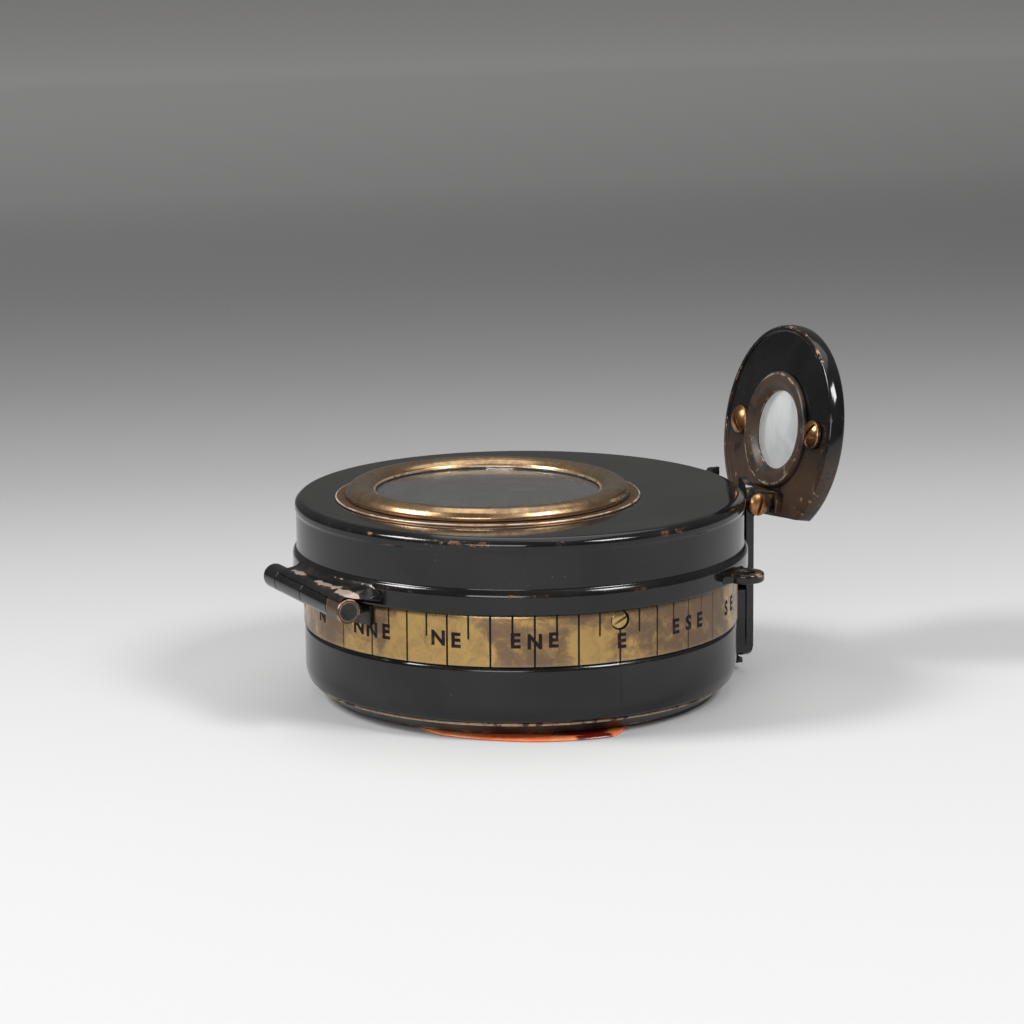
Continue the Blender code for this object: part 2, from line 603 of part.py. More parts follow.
def clamp_spot(side):
    """Where a clamp screw goes through the plate, on its far (+1) or near (-1) side."""
    offset = 0.3 * MM
    x = offset - side * CLAMP_SCREW_R * math.sin(CLAMP_TURN)
    return x, side * CLAMP_SCREW_R * math.cos(CLAMP_TURN)


def sight_plate(axis):
    """Round plate with a thin raised rim and a straight lower edge."""
    rim = SIGHT_R - 0.95 * MM
    bore = 6.45 * MM
    profile = [(bore, 0), (rim, 0), (rim + 0.1 * MM, 0.3 * MM), (rim + 0.4 * MM, 0.3 * MM)]
    profile += arc(SIGHT_R - 0.7 * MM, -0.6 * MM, 0.7 * MM, 0.8 * MM, 75, 0, 2)
    profile += arc(SIGHT_R - 0.8 * MM, -1.3 * MM, 0.8 * MM, 0.8 * MM, 0, -90, 2) + [(bore, -2.1 * MM)]
    plate = place("sight_plate", turned(profile), "black_lacquer", PLATE_AT, axis)
    chord = box((-20 * MM, -20 * MM, -5 * MM), (-CHORD, 20 * MM, 5 * MM))
    bmesh.ops.rotate(chord, matrix=Matrix.Rotation(CHORD_TURN, 3, "Z"), verts=chord.verts)
    cut(plate, chord)
    for side in (-1, 1):
        x, y = clamp_spot(side)
        cut(plate, rod((x, y, -5 * MM), (x, y, 3 * MM), 1.0 * MM))
    return plate


def sight_bracket(axis):
    """Barrel, arm and foot that hang the plate on the pivot."""
    face = -SIGHT_REACH + SEAM
    arm = [(-1.35 * MM, 0), (-1.45 * MM, face), (1.4 * MM, face), (1.3 * MM, -0.9 * MM), (0.9 * MM, 0.2 * MM)]
    arm_half, foot_half = 2.9 * MM, 4.1 * MM
    bracket = place("sight_bracket", along_y(prism(arm, -arm_half, arm_half)), "black_lacquer", parent=axis)
    barrel_half = PRONG_INNER - 0.15 * MM
    join(bracket, rod_y(0, 0, -barrel_half, barrel_half, SIGHT_BARREL_R, SMALL_STEPS))
    foot_low = (-1.2 * MM, -foot_half, face + 0.01 * MM)
    join(bracket, box(foot_low, (1.45 * MM, foot_half, face + 0.75 * MM)))
    cut(bracket, rod_y(0, 0, -8 * MM, 8 * MM, PIVOT_R + RUNNING))
    return bracket


def lens_group(axis):
    """Lens cell, lens and the rear clamp with its two screws."""
    shoulder = 6.35 * MM
    flange = 7.7 * MM
    back = -2.2 * MM
    cell = [(LENS_VIEW_R, -0.3 * MM), (LENS_BORE_R, -0.3 * MM), (LENS_BORE_R, back), (shoulder, back)]
    cell += [(shoulder, SEAM), (flange, SEAM), (flange, 0.6 * MM), (7.4 * MM, 0.9 * MM)]
    cell += [(6.1 * MM, 0.9 * MM), (5.7 * MM, 0.5 * MM), (LENS_VIEW_R, 0.4 * MM)]
    place("lens_cell", turned(cell, LENS_STEPS), "black_lacquer", PLATE_AT, axis)

    edge = LENS_BORE_R - SEAM
    bulge = 0.5 * MM
    rear_z, front_z = -1.5 * MM, -0.45 * MM
    lens = arc(0, front_z, LENS_VIEW_R, bulge, 90, 12, 4) + [(edge, front_z), (edge, rear_z)]
    lens += arc(0, rear_z, LENS_VIEW_R, bulge, -12, -90, 4)
    place("sight_lens", turned(lens, LENS_STEPS), "glass", PLATE_AT, axis)

    ear = 1.7 * MM
    round_r = 7.4 * MM
    outline = arc(0, 0, round_r, round_r, -72, 72, 10) + arc(*clamp_spot(1), ear, ear, 10, 170, 6)
    outline += arc(0, 0, round_r, round_r, 108, 252, 10) + arc(*clamp_spot(-1), ear, ear, 190, 350, 6)
    ring = prism(outline, back - 0.55 * MM, back - SEAM / 2)
    clamp = place("lens_clamp", ring, "worn_brass", PLATE_AT, axis)
    cut(clamp, rod((0, 0, -4 * MM), (0, 0, 0), LENS_VIEW_R, LENS_STEPS))
    for name, side, slot_angle in (("clamp_screw_far", 1, 35), ("clamp_screw_near", -1, 150)):
        x, y = clamp_spot(side)
        cut(clamp, rod((x, y, -4 * MM), (x, y, 0), 1.0 * MM))
        screw = slotted_screw(name, (1.85 * MM, 1.15 * MM), (0.9 * MM, 3.0 * MM), 0.4 * MM,
                              math.radians(slot_angle), 0.6 * MM, axis)
        screw.location = Vector(PLATE_AT) + Vector((x, y, SEAM))


def main():
    clear_scene()
    base_pad()
    base_cover()
    case_shell()
    bearing_band()
    band_screw()
    glass_stack()
    pivot_post()
    compass_card(axis_empty("card_axis", (0, 0, 0)))
    lifter_bracket()
    lifter_lever(axis_empty("lifter_axis", (LIFTER_X, 0, LIFTER_Z)))
    lift_stud()
    case_hinge_leaf()
    lid_hinge_pin()
    lid_axis = axis_empty("lid_axis", (LID_AXIS_X, 0, LID_AXIS_Z))
    lid_hinge_leaf(lid_axis)
    lid_shell(lid_axis)
    lid_window(lid_axis)
    lid_lug(lid_axis)
    sight_guide()
    slide_axis = axis_empty("slide_axis", (STRAP_X, 0, STRAP_BOTTOM))
    sight_strap(slide_axis)
    pivot_screw(slide_axis)
    pivot = Vector((SIGHT_AXIS_X, 0, SIGHT_AXIS_Z)) - slide_axis.location
    sight_axis = axis_empty("sight_axis", pivot, (0, SIGHT_LEAN - math.pi / 2, 0), slide_axis)
    sight_plate(sight_axis)
    sight_bracket(sight_axis)
    lens_group(sight_axis)


main()
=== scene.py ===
"""Looks of the pocket surveying compass: fine surfaces, engraving, aged lacquer and brass.

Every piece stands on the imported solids.  Lengths here are in millimetres, turned into metres by MM
where a mesh is made, in the part's own frame: origin on the drum's axis at the plane it rests on,
+Z up, +X towards the lens sight.
"""
import json
from math import atan2, cos, pi, radians, sin, sqrt

import bmesh
import bpy
from mathutils import Matrix, Vector

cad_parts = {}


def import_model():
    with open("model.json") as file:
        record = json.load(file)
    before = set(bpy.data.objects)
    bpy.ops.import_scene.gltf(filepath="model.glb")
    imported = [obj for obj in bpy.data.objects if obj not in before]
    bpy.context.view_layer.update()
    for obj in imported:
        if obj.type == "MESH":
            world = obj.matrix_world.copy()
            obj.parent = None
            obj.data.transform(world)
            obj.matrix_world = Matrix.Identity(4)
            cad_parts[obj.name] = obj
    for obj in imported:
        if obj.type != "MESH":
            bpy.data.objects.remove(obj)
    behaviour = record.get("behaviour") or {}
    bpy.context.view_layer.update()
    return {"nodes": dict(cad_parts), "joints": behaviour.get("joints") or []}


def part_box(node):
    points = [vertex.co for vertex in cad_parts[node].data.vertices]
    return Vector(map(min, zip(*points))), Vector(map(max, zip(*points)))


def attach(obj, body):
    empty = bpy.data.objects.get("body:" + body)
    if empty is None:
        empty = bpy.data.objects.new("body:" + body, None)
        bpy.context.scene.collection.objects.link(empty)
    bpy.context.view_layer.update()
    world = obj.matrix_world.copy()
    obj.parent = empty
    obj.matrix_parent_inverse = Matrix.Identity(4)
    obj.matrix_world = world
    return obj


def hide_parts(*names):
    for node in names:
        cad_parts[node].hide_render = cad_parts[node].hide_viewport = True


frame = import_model()

MM = 0.001
FULL = 2 * pi


def low_high(node):
    """Lowest and highest corner of a CAD node, in millimetres."""
    low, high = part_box(node)
    return low / MM, high / MM


# ---- places, read from the solids

LID_LOW, LID_HIGH = low_high("lid_shell")
LID_FLANGE_R = LID_HIGH.x
LID_R = LID_FLANGE_R - 0.5
LID_RIM_R = LID_FLANGE_R - 0.35
LID_BOTTOM = LID_LOW.z
LID_TOP = LID_HIGH.z
LID_BORE_R = LID_R - 1.3
BEZEL_LOW, BEZEL_HIGH = low_high("window_bezel")
WINDOW_X = (BEZEL_LOW.x + BEZEL_HIGH.x) / 2
BEZEL_R = (BEZEL_HIGH.y - BEZEL_LOW.y) / 2
BEZEL_TOP = BEZEL_HIGH.z
GLASS_LOW, GLASS_HIGH = low_high("window_glass")
BAND_LOW, BAND_HIGH = low_high("bearing_band")
BAND_R = 28.0
BAND_BOTTOM = BAND_LOW.z
BAND_TOP = BAND_HIGH.z
CASE_BOTTOM = low_high("case_shell")[0].z
CASE_R = 27.9
PIN_LOW, PIN_HIGH = low_high("lid_hinge_pin")
HINGE_X = (PIN_LOW.x + PIN_HIGH.x) / 2
HINGE_Z = (PIN_LOW.z + PIN_HIGH.z) / 2
HINGE_Y = (PIN_LOW.y + PIN_HIGH.y) / 2
BARREL_R = 1.56
SIGHT_JOINT = next(j for j in frame["joints"] if j["name"] == "sight_hinge")
PIVOT = Vector(SIGHT_JOINT["pos_m"]) / MM
PIVOT_BARREL_R = 1.45
STRAP_LOW, STRAP_HIGH = low_high("sight_strap")
STRAP_HALF = STRAP_HIGH.y
GUIDE_LOW, GUIDE_HIGH = low_high("sight_guide")
SIGHT_LEAN = radians(9.7)
SIGHT_R = 13.95
SIGHT_RISE = 9.4
SIGHT_REACH = 4.8
LUG_LOW, LUG_HIGH = low_high("lid_lug")

FINE = 256
ROUND = 96


# ---- shaders

class Shader:
    """A Principled material with short calls for the nodes around it."""

    def __init__(self, name):
        self.material = bpy.data.materials.new(name)
        self.material.use_nodes = True
        self.tree = self.material.node_tree
        self.surface = self.tree.nodes["Principled BSDF"]
        self.place = self.tree.nodes.new("ShaderNodeTexCoord").outputs["Object"]

    def feed(self, socket, value):
        """Link an output, or set a plain value."""
        if isinstance(value, bpy.types.NodeSocket):
            self.tree.links.new(value, socket)
        elif isinstance(value, tuple) and len(value) == 3 and socket.type == "RGBA":
            socket.default_value = (*value, 1.0)
        else:
            socket.default_value = value

    def node(self, kind, inputs, output=0, **settings):
        """Add a node, feed its inputs by name or number, and give one of its outputs."""
        made = self.tree.nodes.new("ShaderNode" + kind)
        for key, value in settings.items():
            setattr(made, key, value)
        for key, value in inputs.items():
            self.feed(made.inputs[key], value)
        return made.outputs[output]

    def set(self, **inputs):
        """Feed the surface's own inputs."""
        for key, value in inputs.items():
            self.feed(self.surface.inputs[key.replace("_", " ")], value)

    def math(self, operation, a, b=0.0):
        return self.node("Math", {0: a, 1: b}, operation=operation)

    def times(self, a, b):
        return self.math("MULTIPLY", a, b)

    def plus(self, a, b):
        return self.math("ADD", a, b)

    def minus(self, a, b):
        return self.math("SUBTRACT", a, b)

    def remap(self, value, low, high, to_low=0.0, to_high=1.0):
        """Smooth step of a value from one range to another."""
        inputs = {"Value": value, "From Min": low, "From Max": high, "To Min": to_low, "To Max": to_high}
        return self.node("MapRange", inputs, "Result", interpolation_type="SMOOTHSTEP")

    def mix(self, factor, a, b):
        """Mix of two colours."""
        return self.node("Mix", {"Factor": factor, 6: a, 7: b}, 2, data_type="RGBA")

    def blend(self, factor, a, b):
        """Mix of two plain numbers."""
        return self.node("Mix", {"Factor": factor, 2: a, 3: b}, data_type="FLOAT")

    def vector(self, operation, a, b, output="Vector"):
        return self.node("VectorMath", {0: a, 1: b}, output, operation=operation)

    def stretch(self, scale, shift=(0.0, 0.0, 0.0)):
        """The object's own coordinates, scaled and shifted."""
        return self.node("Mapping", {"Vector": self.place, "Scale": scale, "Location": shift})

    def noise(self, scale, detail=4.0, roughness=0.55, distortion=0.0, at=None):
        inputs = {"Vector": at or self.place, "Scale": scale, "Detail": detail}
        inputs.update({"Roughness": roughness, "Distortion": distortion})
        return self.node("TexNoise", inputs, "Fac")

    def specks(self, scale, size, at):
        """Scattered small dots: 1 inside a dot."""
        distance = self.node("TexVoronoi", {"Vector": at, "Scale": scale}, "Distance")
        return self.remap(distance, size, size * 0.6)

    def axis(self, name):
        """One coordinate in the object's own frame, in metres."""
        return self.node("SeparateXYZ", {0: self.place}, name)

    def near(self, point, radius):
        """1 at a point given in millimetres, fading to 0 at the radius."""
        distance = self.vector("DISTANCE", self.place, [c * MM for c in point], "Value")
        return self.remap(distance, radius * MM, 0.3 * radius * MM)

    def attribute(self, name):
        return self.node("Attribute", {}, "Fac", attribute_name=name)

    def bump(self, height, distance, strength):
        return self.node("Bump", {"Height": height, "Distance": distance, "Strength": strength})

    def finish(self, color, relief, roughness, depth, strength):
        """Colour, with roughness and a bump of depth millimetres that both follow one relief."""
        rough = self.remap(relief, 0.3, 0.7, *roughness)
        self.set(Base_Color=color, Roughness=rough, Normal=self.bump(relief, depth * MM, strength))


BLACK = (0.0038, 0.0038, 0.0042)
# Dusty black, scaled by the lacquer's dust setting; at large settings it is also a painted reflection of the
# floor.
BLACK_DUST_AND_SHEEN = (0.0105, 0.0100, 0.0098)
BROWN = (0.055, 0.032, 0.020)
BARE_BRASS = (0.46, 0.30, 0.13)
PALE_WEAR = (0.56, 0.46, 0.38)


def lacquer(name, wear=0.5, worn=BARE_BRASS, pale=0.5, browned=0.0, gloss=0.14, marks=None, brown_below=None,
            mirror_above=None, dust_and_sheen=1.0, seed=0.0):
    """Old black lacquer on brass. wear is how far it has gone from the edges, pale how much of the bare
    metal is whitish, browned how far it has worn thin and brown away from the edges, only below a height
    band where brown_below gives one. marks adds a mask of scribed lines, and above mirror_above the
    coat is smoother and deeper."""
    s = Shader(name)
    shift = (seed, seed * 0.7, -seed * 0.4)
    here = s.stretch((1, 1, 1), shift=shift)
    cloud = s.noise(95, 5, 0.6, 0.4, here)
    grain = s.noise(1900, 3, 0.6, 0.0, here)
    chips = s.noise(620, 6, 0.68, 0.6, here)
    streak = s.noise(1.0, 4, 0.6, 0.3, s.stretch((2600, 2600, 260), shift=shift))

    edge = s.attribute("edge")
    reach = s.plus(edge, s.times(s.minus(chips, 0.5), 1.9))
    patchy = s.plus(reach, s.times(s.minus(cloud, 0.5), 1.6))
    bare = s.times(s.remap(patchy, 1.32 - 0.62 * wear, 1.42 - 0.62 * wear), s.remap(edge, 0.05, 0.2))
    brown_edge = s.times(s.remap(patchy, 1.14 - 0.75 * wear, 1.46 - 0.75 * wear), s.remap(edge, 0.02, 0.2))

    thin = s.remap(s.noise(170, 6, 0.7, 0.5, here), 0.62 - 0.32 * browned, 0.78 - 0.3 * browned)
    thin = s.times(thin, min(1.0, browned * 1.6)) if browned else 0.0
    if brown_below:
        low, high = brown_below
        thin = s.times(thin, s.remap(s.axis("Z"), high * MM, low * MM))

    # Painted light as well as dust: a large dust setting lightens this black towards grey, standing in for
    # bright floor light reflected in the surface.
    color = s.mix(s.remap(cloud, 0.35, 0.75), BLACK, tuple(dust_and_sheen * c for c in BLACK_DUST_AND_SHEEN))
    if browned:
        color = s.mix(thin, color, BROWN)
        flecks = s.times(s.remap(chips, 0.60, 0.68), thin)
        color = s.mix(s.times(flecks, 0.7), color, worn)
    color = s.mix(s.times(brown_edge, 0.75), color, BROWN)
    tone = s.mix(s.times(s.remap(grain, 0.35, 0.65), pale), worn, PALE_WEAR)
    color = s.mix(bare, color, tone)
    dust_and_sheen = s.times(s.specks(900, 0.09, here), s.remap(cloud, 0.5, 0.62))
    color = s.mix(s.times(dust_and_sheen, 0.22), color, (0.30, 0.29, 0.28))

    rough = s.remap(cloud, 0.3, 0.8, gloss * 0.75, gloss * 1.55)
    rough = s.plus(rough, s.times(s.remap(streak, 0.58, 0.72), 0.07))
    rough = s.blend(bare, rough, 0.34)
    if browned:
        rough = s.blend(thin, rough, 0.42)
    height = s.times(grain, 0.35)
    height = s.minus(height, s.times(bare, 0.8))
    if marks:
        lines = marks(s)
        color = s.mix(s.times(lines, 0.75), color, (0.004, 0.004, 0.004))
        rough = s.blend(lines, rough, 0.5)
        height = s.minus(height, lines)
    metal = s.times(bare, 1.0 - 0.5 * pale)
    specular = 0.4
    if mirror_above:
        mirror = s.remap(s.axis("Z"), (mirror_above - 0.1) * MM, mirror_above * MM)
        rough = s.blend(mirror, rough, s.times(rough, 0.5))
        specular = s.blend(mirror, specular, 0.75)
    s.set(Base_Color=color, Roughness=rough, Metallic=metal, Normal=s.bump(height, 0.012 * MM, 0.9))
    s.set(IOR=1.5, Specular_IOR_Level=specular)
    return s.material


def brass(name, bright, dull, polish=0.5, tarnish=0.5, centre=None, pale=0.3, grime=0.6, coat=0.0, rubbed_and_highlit=(),
          seed=0.0):
    """Old brass: brown tarnish in patches, paler on its edges, dark in its corners, with turning marks
    around the centre (x, y) where the piece was turned. Listed places (point, radius) are kept bright, partly
    rubbed brass and partly painted highlights."""
    s = Shader(name)
    here = s.stretch((1, 1, 1), shift=(seed, -seed, seed * 0.5))
    cloud = s.noise(120, 6, 0.62, 0.5, here)
    mottle = s.noise(520, 6, 0.7, 0.8, here)
    grain = s.noise(2600, 3, 0.6, 0.0, here)
    scratch = s.noise(1.0, 3, 0.5, 0.2, s.stretch((900, 900, 5200)))

    patch = s.plus(s.times(cloud, 0.62), s.times(mottle, 0.38))
    # Painted highlight as well as rubbing: each listed place loses tarnish, so the brass is brightest where
    # the lamps' highlights fall.
    for point, radius in rubbed_and_highlit:
        patch = s.minus(patch, s.times(s.near(point, radius), 0.28))
    aged = s.remap(patch, 0.62 - 0.28 * tarnish, 0.70 - 0.16 * tarnish)
    color = s.mix(s.times(s.remap(mottle, 0.38, 0.66), 0.42), bright, dull)
    color = s.mix(aged, color, dull)
    color = s.mix(s.times(s.remap(mottle, 0.60, 0.74), 0.45), color, tuple(0.45 * c for c in dull))
    edge = s.attribute("edge")
    worn = s.times(s.remap(edge, 0.15, 0.9), s.remap(mottle, 0.34, 0.58))
    color = s.mix(s.times(worn, pale), color, PALE_WEAR)
    corner = s.attribute("grime")
    dirt = s.times(s.remap(corner, 0.1, 0.9), s.remap(mottle, 0.30, 0.52))
    color = s.mix(s.times(dirt, grime), color, (0.035, 0.024, 0.018))

    rough = s.remap(cloud, 0.3, 0.75, 0.34 - 0.2 * polish, 0.5 - 0.2 * polish)
    rough = s.plus(rough, s.times(aged, 0.08))
    rough = s.blend(s.times(dirt, grime), rough, 0.7)
    metal = s.minus(1.0, s.times(dirt, grime * 0.9))
    metal = s.times(metal, s.minus(1.0, s.times(worn, 0.75 * pale)))
    height = s.plus(s.times(grain, 0.4), s.times(scratch, 0.3))
    if centre:
        offset = s.vector("SUBTRACT", s.place, (centre[0] * MM, centre[1] * MM, 0.0))
        radius = s.vector("LENGTH", s.vector("MULTIPLY", offset, (1.0, 1.0, 0.0)), (0.0, 0.0, 0.0), "Value")
        along = s.plus(radius, s.times(s.axis("Z"), 1.0))
        lathe = s.node("TexNoise", {"W": along, "Scale": 9000, "Detail": 2}, "Fac", noise_dimensions="1D")
        height = s.plus(height, s.times(lathe, 0.8))
    s.set(Base_Color=color, Roughness=rough, Metallic=metal, Normal=s.bump(height, 0.010 * MM, 0.8))
    s.set(Coat_Weight=coat, Coat_Roughness=0.18)
    return s.material


def glass(name, tint, roughness, film=0.0):
    """Old clear glass with faint smears, and a dusty film where film says how much."""
    s = Shader(name)
    smear = s.noise(140, 5, 0.6, 1.2)
    clear = s.remap(smear, 0.3, 0.8, 1.0 - 0.9 * film, 1.0 - 1.15 * film) if film else 1.0
    s.set(Base_Color=tint, Transmission_Weight=clear, IOR=1.5)
    s.set(Roughness=s.remap(smear, 0.4, 0.75, roughness, roughness * 2.4))
    s.set(Normal=s.bump(s.noise(60, 2, 0.5), 0.006 * MM, 0.5))
    return s.material


def steel(name):
    """Brushed steel with a few rust spots."""
    s = Shader(name)
    brushed = s.noise(1.0, 4, 0.6, 0.0, s.stretch((300, 6000, 6000)))
    rust = s.remap(s.noise(400, 6, 0.7, 0.5), 0.62, 0.74)
    color = s.mix(s.times(rust, 0.7), (0.36, 0.36, 0.38), (0.14, 0.07, 0.04))
    s.finish(color, brushed, (0.24, 0.42), 0.006, 0.8)
    s.set(Metallic=s.minus(1.0, s.times(rust, 0.6)))
    return s.material


def card_paper(name):
    """Yellowed printed card."""
    s = Shader(name)
    fibre = s.noise(2400, 5, 0.7)
    stain = s.noise(90, 5, 0.6, 0.6)
    color = s.mix(s.remap(stain, 0.35, 0.75), (0.80, 0.76, 0.64), (0.62, 0.54, 0.38))
    color = s.mix(s.times(s.remap(fibre, 0.55, 0.7), 0.2), color, (0.50, 0.42, 0.30))
    s.finish(color, fibre, (0.7, 0.9), 0.02, 0.6)
    return s.material


def engraved_ink(name, tint):
    """Old wax in engraved marks."""
    s = Shader(name)
    crumbs = s.noise(3200, 4, 0.7)
    faded = s.noise(600, 5, 0.7, 0.4)
    color = s.mix(s.remap(faded, 0.5, 0.72), tint, tuple(2.5 * c + 0.008 for c in tint))
    s.finish(color, crumbs, (0.6, 0.85), 0.02, 0.8)
    s.set(Specular_IOR_Level=0.2)
    return s.material


def red_coat(name):
    """Glossy orange-red layer under the base, darker where it is thick."""
    s = Shader(name)
    pool = s.noise(150, 5, 0.6, 0.8)
    veins = s.noise(700, 5, 0.65, 0.8)
    dark = s.remap(s.attribute("grime"), 0.2, 0.8)
    color = s.mix(s.remap(pool, 0.4, 0.7), (0.90, 0.20, 0.07), (0.95, 0.36, 0.16))
    color = s.mix(s.times(s.remap(veins, 0.60, 0.72), 0.5), color, (0.95, 0.48, 0.24))
    color = s.mix(dark, color, (0.16, 0.012, 0.008))
    s.finish(color, veins, (0.16, 0.30), 0.05, 0.7)
    s.set(Coat_Weight=0.3, Coat_Roughness=0.08)
    return s.material


def grained(name, noise, dark, light, roughness, depth, strength):
    """A plain stuff whose colour, roughness and bump all follow one noise."""
    s = Shader(name)
    grain = s.noise(*noise)
    s.finish(s.mix(grain, dark, light), grain, roughness, depth, strength)
    return s.material


# ---- meshes

def linked(name, data):
    """An object in the scene for a mesh, curve, light or camera."""
    obj = bpy.data.objects.new(name, data)
    bpy.context.scene.collection.objects.link(obj)
    return obj


def standing(name, shape, materials=()):
    """Turn a bmesh into an object in the scene."""
    mesh = bpy.data.meshes.new(name)
    shape.to_mesh(mesh)
    shape.free()
    for each in materials:
        mesh.materials.append(each)
    return linked(name, mesh)


def solved(obj):
    """What an object comes to with its modifiers, as a bmesh."""
    bpy.context.view_layer.update()
    final = obj.evaluated_get(bpy.context.evaluated_depsgraph_get())
    shape = bmesh.new()
    shape.from_mesh(final.to_mesh())
    final.to_mesh_clear()
    return shape


def keep(name, shape, material, body, replaced=(), sharp=38):
    """Turn a bmesh drawn in millimetres into a piece of the object."""
    bmesh.ops.recalc_face_normals(shape, faces=shape.faces)
    bmesh.ops.scale(shape, vec=(MM, MM, MM), verts=shape.verts)
    obj = standing(name, shape, material if isinstance(material, tuple) else (material,))
    obj.data.shade_smooth()
    obj.data.set_sharp_from_angle(angle=radians(sharp))
    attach(obj, body)
    if replaced:
        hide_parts(*replaced)


def mask(shape, name):
    """One of the two masks that the shaders read: "edge" on convex edges, "grime" in corners."""
    masks = shape.verts.layers.float
    return masks.get(name) or masks.new(name)


def blank():
    """Empty bmesh with both masks."""
    shape = bmesh.new()
    return shape, mask(shape, "edge"), mask(shape, "grime")


def skin(shape, loops):
    """Faces between closed loops of points, one loop to the next."""
    for low, high in zip(loops, loops[1:]):
        for i in range(len(low)):
            j = (i + 1) % len(low)
            shape.faces.new((low[i], low[j], high[j], high[i]))


def at(x, y, z):
    return Matrix.Translation((x, y, z))


def spin(degrees, axis="Z"):
    return Matrix.Rotation(radians(degrees), 4, axis)


def around(radius, angle, z):
    """The point at a radius and an angle about Z."""
    return radius * cos(angle), radius * sin(angle), z


def arc(cx, cy, rx, ry, start, end, steps):
    """Points on an elliptical arc, angles in degrees."""
    points = []
    for i in range(steps + 1):
        angle = radians(start + (end - start) * i / steps)
        points.append((cx + rx * cos(angle), cy + ry * sin(angle)))
    return points


def soften(profile, closed):
    """Round the corners of a profile and put a support point on each side of every round. A corner is
    (radius, height, rounding, edge wear, grime, centre in X), where the last four may be left out."""
    profile = [(*corner, 0.0, 0.0, 0.0, 0.0)[:6] for corner in profile]
    softened = []
    count = len(profile)
    for i, (r, z, rounding, edge, grime, cx) in enumerate(profile):
        here = Vector((r, z, cx))
        ends = not closed and i in (0, count - 1)
        if rounding <= 0 or ends:
            softened.append((r, z, edge, grime, cx))
            continue
        before = Vector([profile[i - 1][k] for k in (0, 1, 5)]) - here
        after = Vector([profile[(i + 1) % count][k] for k in (0, 1, 5)]) - here
        reach = min(rounding, before.length * 0.42, after.length * 0.42)
        support = reach * 1.5
        start = here + before.normalized() * reach
        end = here + after.normalized() * reach
        outer = here + before.normalized() * min(support, before.length * 0.46)
        inner = here + after.normalized() * min(support, after.length * 0.46)
        softened.append((outer.x, outer.y, 0.25 * edge, 0.25 * grime, outer.z))
        steps = 5
        for k in range(steps + 1):
            t = k / steps
            p = start * (1 - t) ** 2 + here * 2 * t * (1 - t) + end * t ** 2
            softened.append((p.x, p.y, edge, grime, p.z))
        softened.append((inner.x, inner.y, 0.25 * edge, 0.25 * grime, inner.z))
    return softened


def turned(profile, steps=FINE, closed=True, place=None):
    """Solid of revolution about Z with rounded corners. An open profile runs from the axis to the axis."""
    shape, edge_layer, grime_layer = blank()
    rings = []
    for r, z, edge, grime, cx in soften(profile, closed):
        if r < 1e-6:
            ring = [shape.verts.new((cx, 0.0, z))]
        else:
            turns = [FULL * i / steps for i in range(steps)]
            ring = [shape.verts.new((cx + r * cos(a), r * sin(a), z)) for a in turns]
        for vert in ring:
            vert[edge_layer] = edge
            vert[grime_layer] = grime
        rings.append(ring)
    pairs = list(zip(rings, rings[1:]))
    if closed:
        pairs.append((rings[-1], rings[0]))
    for low, high in pairs:
        for i in range(steps):
            j = (i + 1) % steps
            corners = (low[i % len(low)], low[j % len(low)], high[j % len(high)], high[i % len(high)])
            corners = list(dict.fromkeys(corners))
            if len(corners) > 2:
                shape.faces.new(corners)
    return moved(shape, place) if place else shape


def prism(outline, low, high):
    """Outline in XY, extruded from Z = low to Z = high."""
    shape = bmesh.new()
    bottom = [shape.verts.new((x, y, low)) for x, y in outline]
    top = [shape.verts.new((x, y, high)) for x, y in outline]
    shape.faces.new(bottom)
    shape.faces.new(top)
    skin(shape, [bottom, top])
    return shape


def box(low, high):
    """Box between two corners."""
    outline = [(low[0], low[1]), (high[0], low[1]), (high[0], high[1]), (low[0], high[1])]
    return prism(outline, low[2], high[2])


def moved(shape, matrix):
    bmesh.ops.transform(shape, matrix=matrix, verts=shape.verts)
    return shape


ALONG_X = Matrix(((0, 0, 1, 0), (1, 0, 0, 0), (0, 1, 0, 0), (0, 0, 0, 1)))
ALONG_Y = Matrix(((1, 0, 0, 0), (0, 0, 1, 0), (0, 1, 0, 0), (0, 0, 0, 1)))


def rod_y(x, z, y0, y1, radius, rounding=0.12, steps=ROUND):
    """Round bar along Y with softened ends."""
    profile = [(0, y0), (radius, y0, rounding, 1.0), (radius, y1, rounding, 1.0), (0, y1)]
    shape = turned(profile, steps, closed=False)
    return moved(moved(shape, ALONG_Y), at(x, 0, z))


def merged(*shapes):
    """Several bmeshes in one."""
    whole = blank()[0]
    for shape in shapes:
        mesh = bpy.data.meshes.new("part")
        bmesh.ops.recalc_face_normals(shape, faces=shape.faces)
        shape.to_mesh(mesh)
        shape.free()
        whole.from_mesh(mesh)
        bpy.data.meshes.remove(mesh)
    return whole


ADD, CUT = "UNION", "DIFFERENCE"


def carved(base, tools, bevel=0.0, segments=3, sharp=30, materials=()):
    """Boolean a list of (operation, shape) into a shape, then bevel what is sharp."""
    for shape in (base, *(tool for _, tool in tools)):
        bmesh.ops.recalc_face_normals(shape, faces=shape.faces)
    main = standing("carved", base, materials)
    objects = [main]
    for operation, shape in tools:
        modifier = main.modifiers.new(operation, "BOOLEAN")
        modifier.operation = operation
        modifier.solver = "EXACT"
        modifier.object = standing("tool", shape)
        objects.append(modifier.object)
    if bevel:
        modifier = main.modifiers.new("bevel", "BEVEL")
        modifier.width = bevel
        modifier.segments = segments
        modifier.limit_method = "ANGLE"
        modifier.angle_limit = radians(sharp)
    result = solved(main)
    for obj in objects:
        mesh = obj.data
        bpy.data.objects.remove(obj)
        bpy.data.meshes.remove(mesh)
    return result


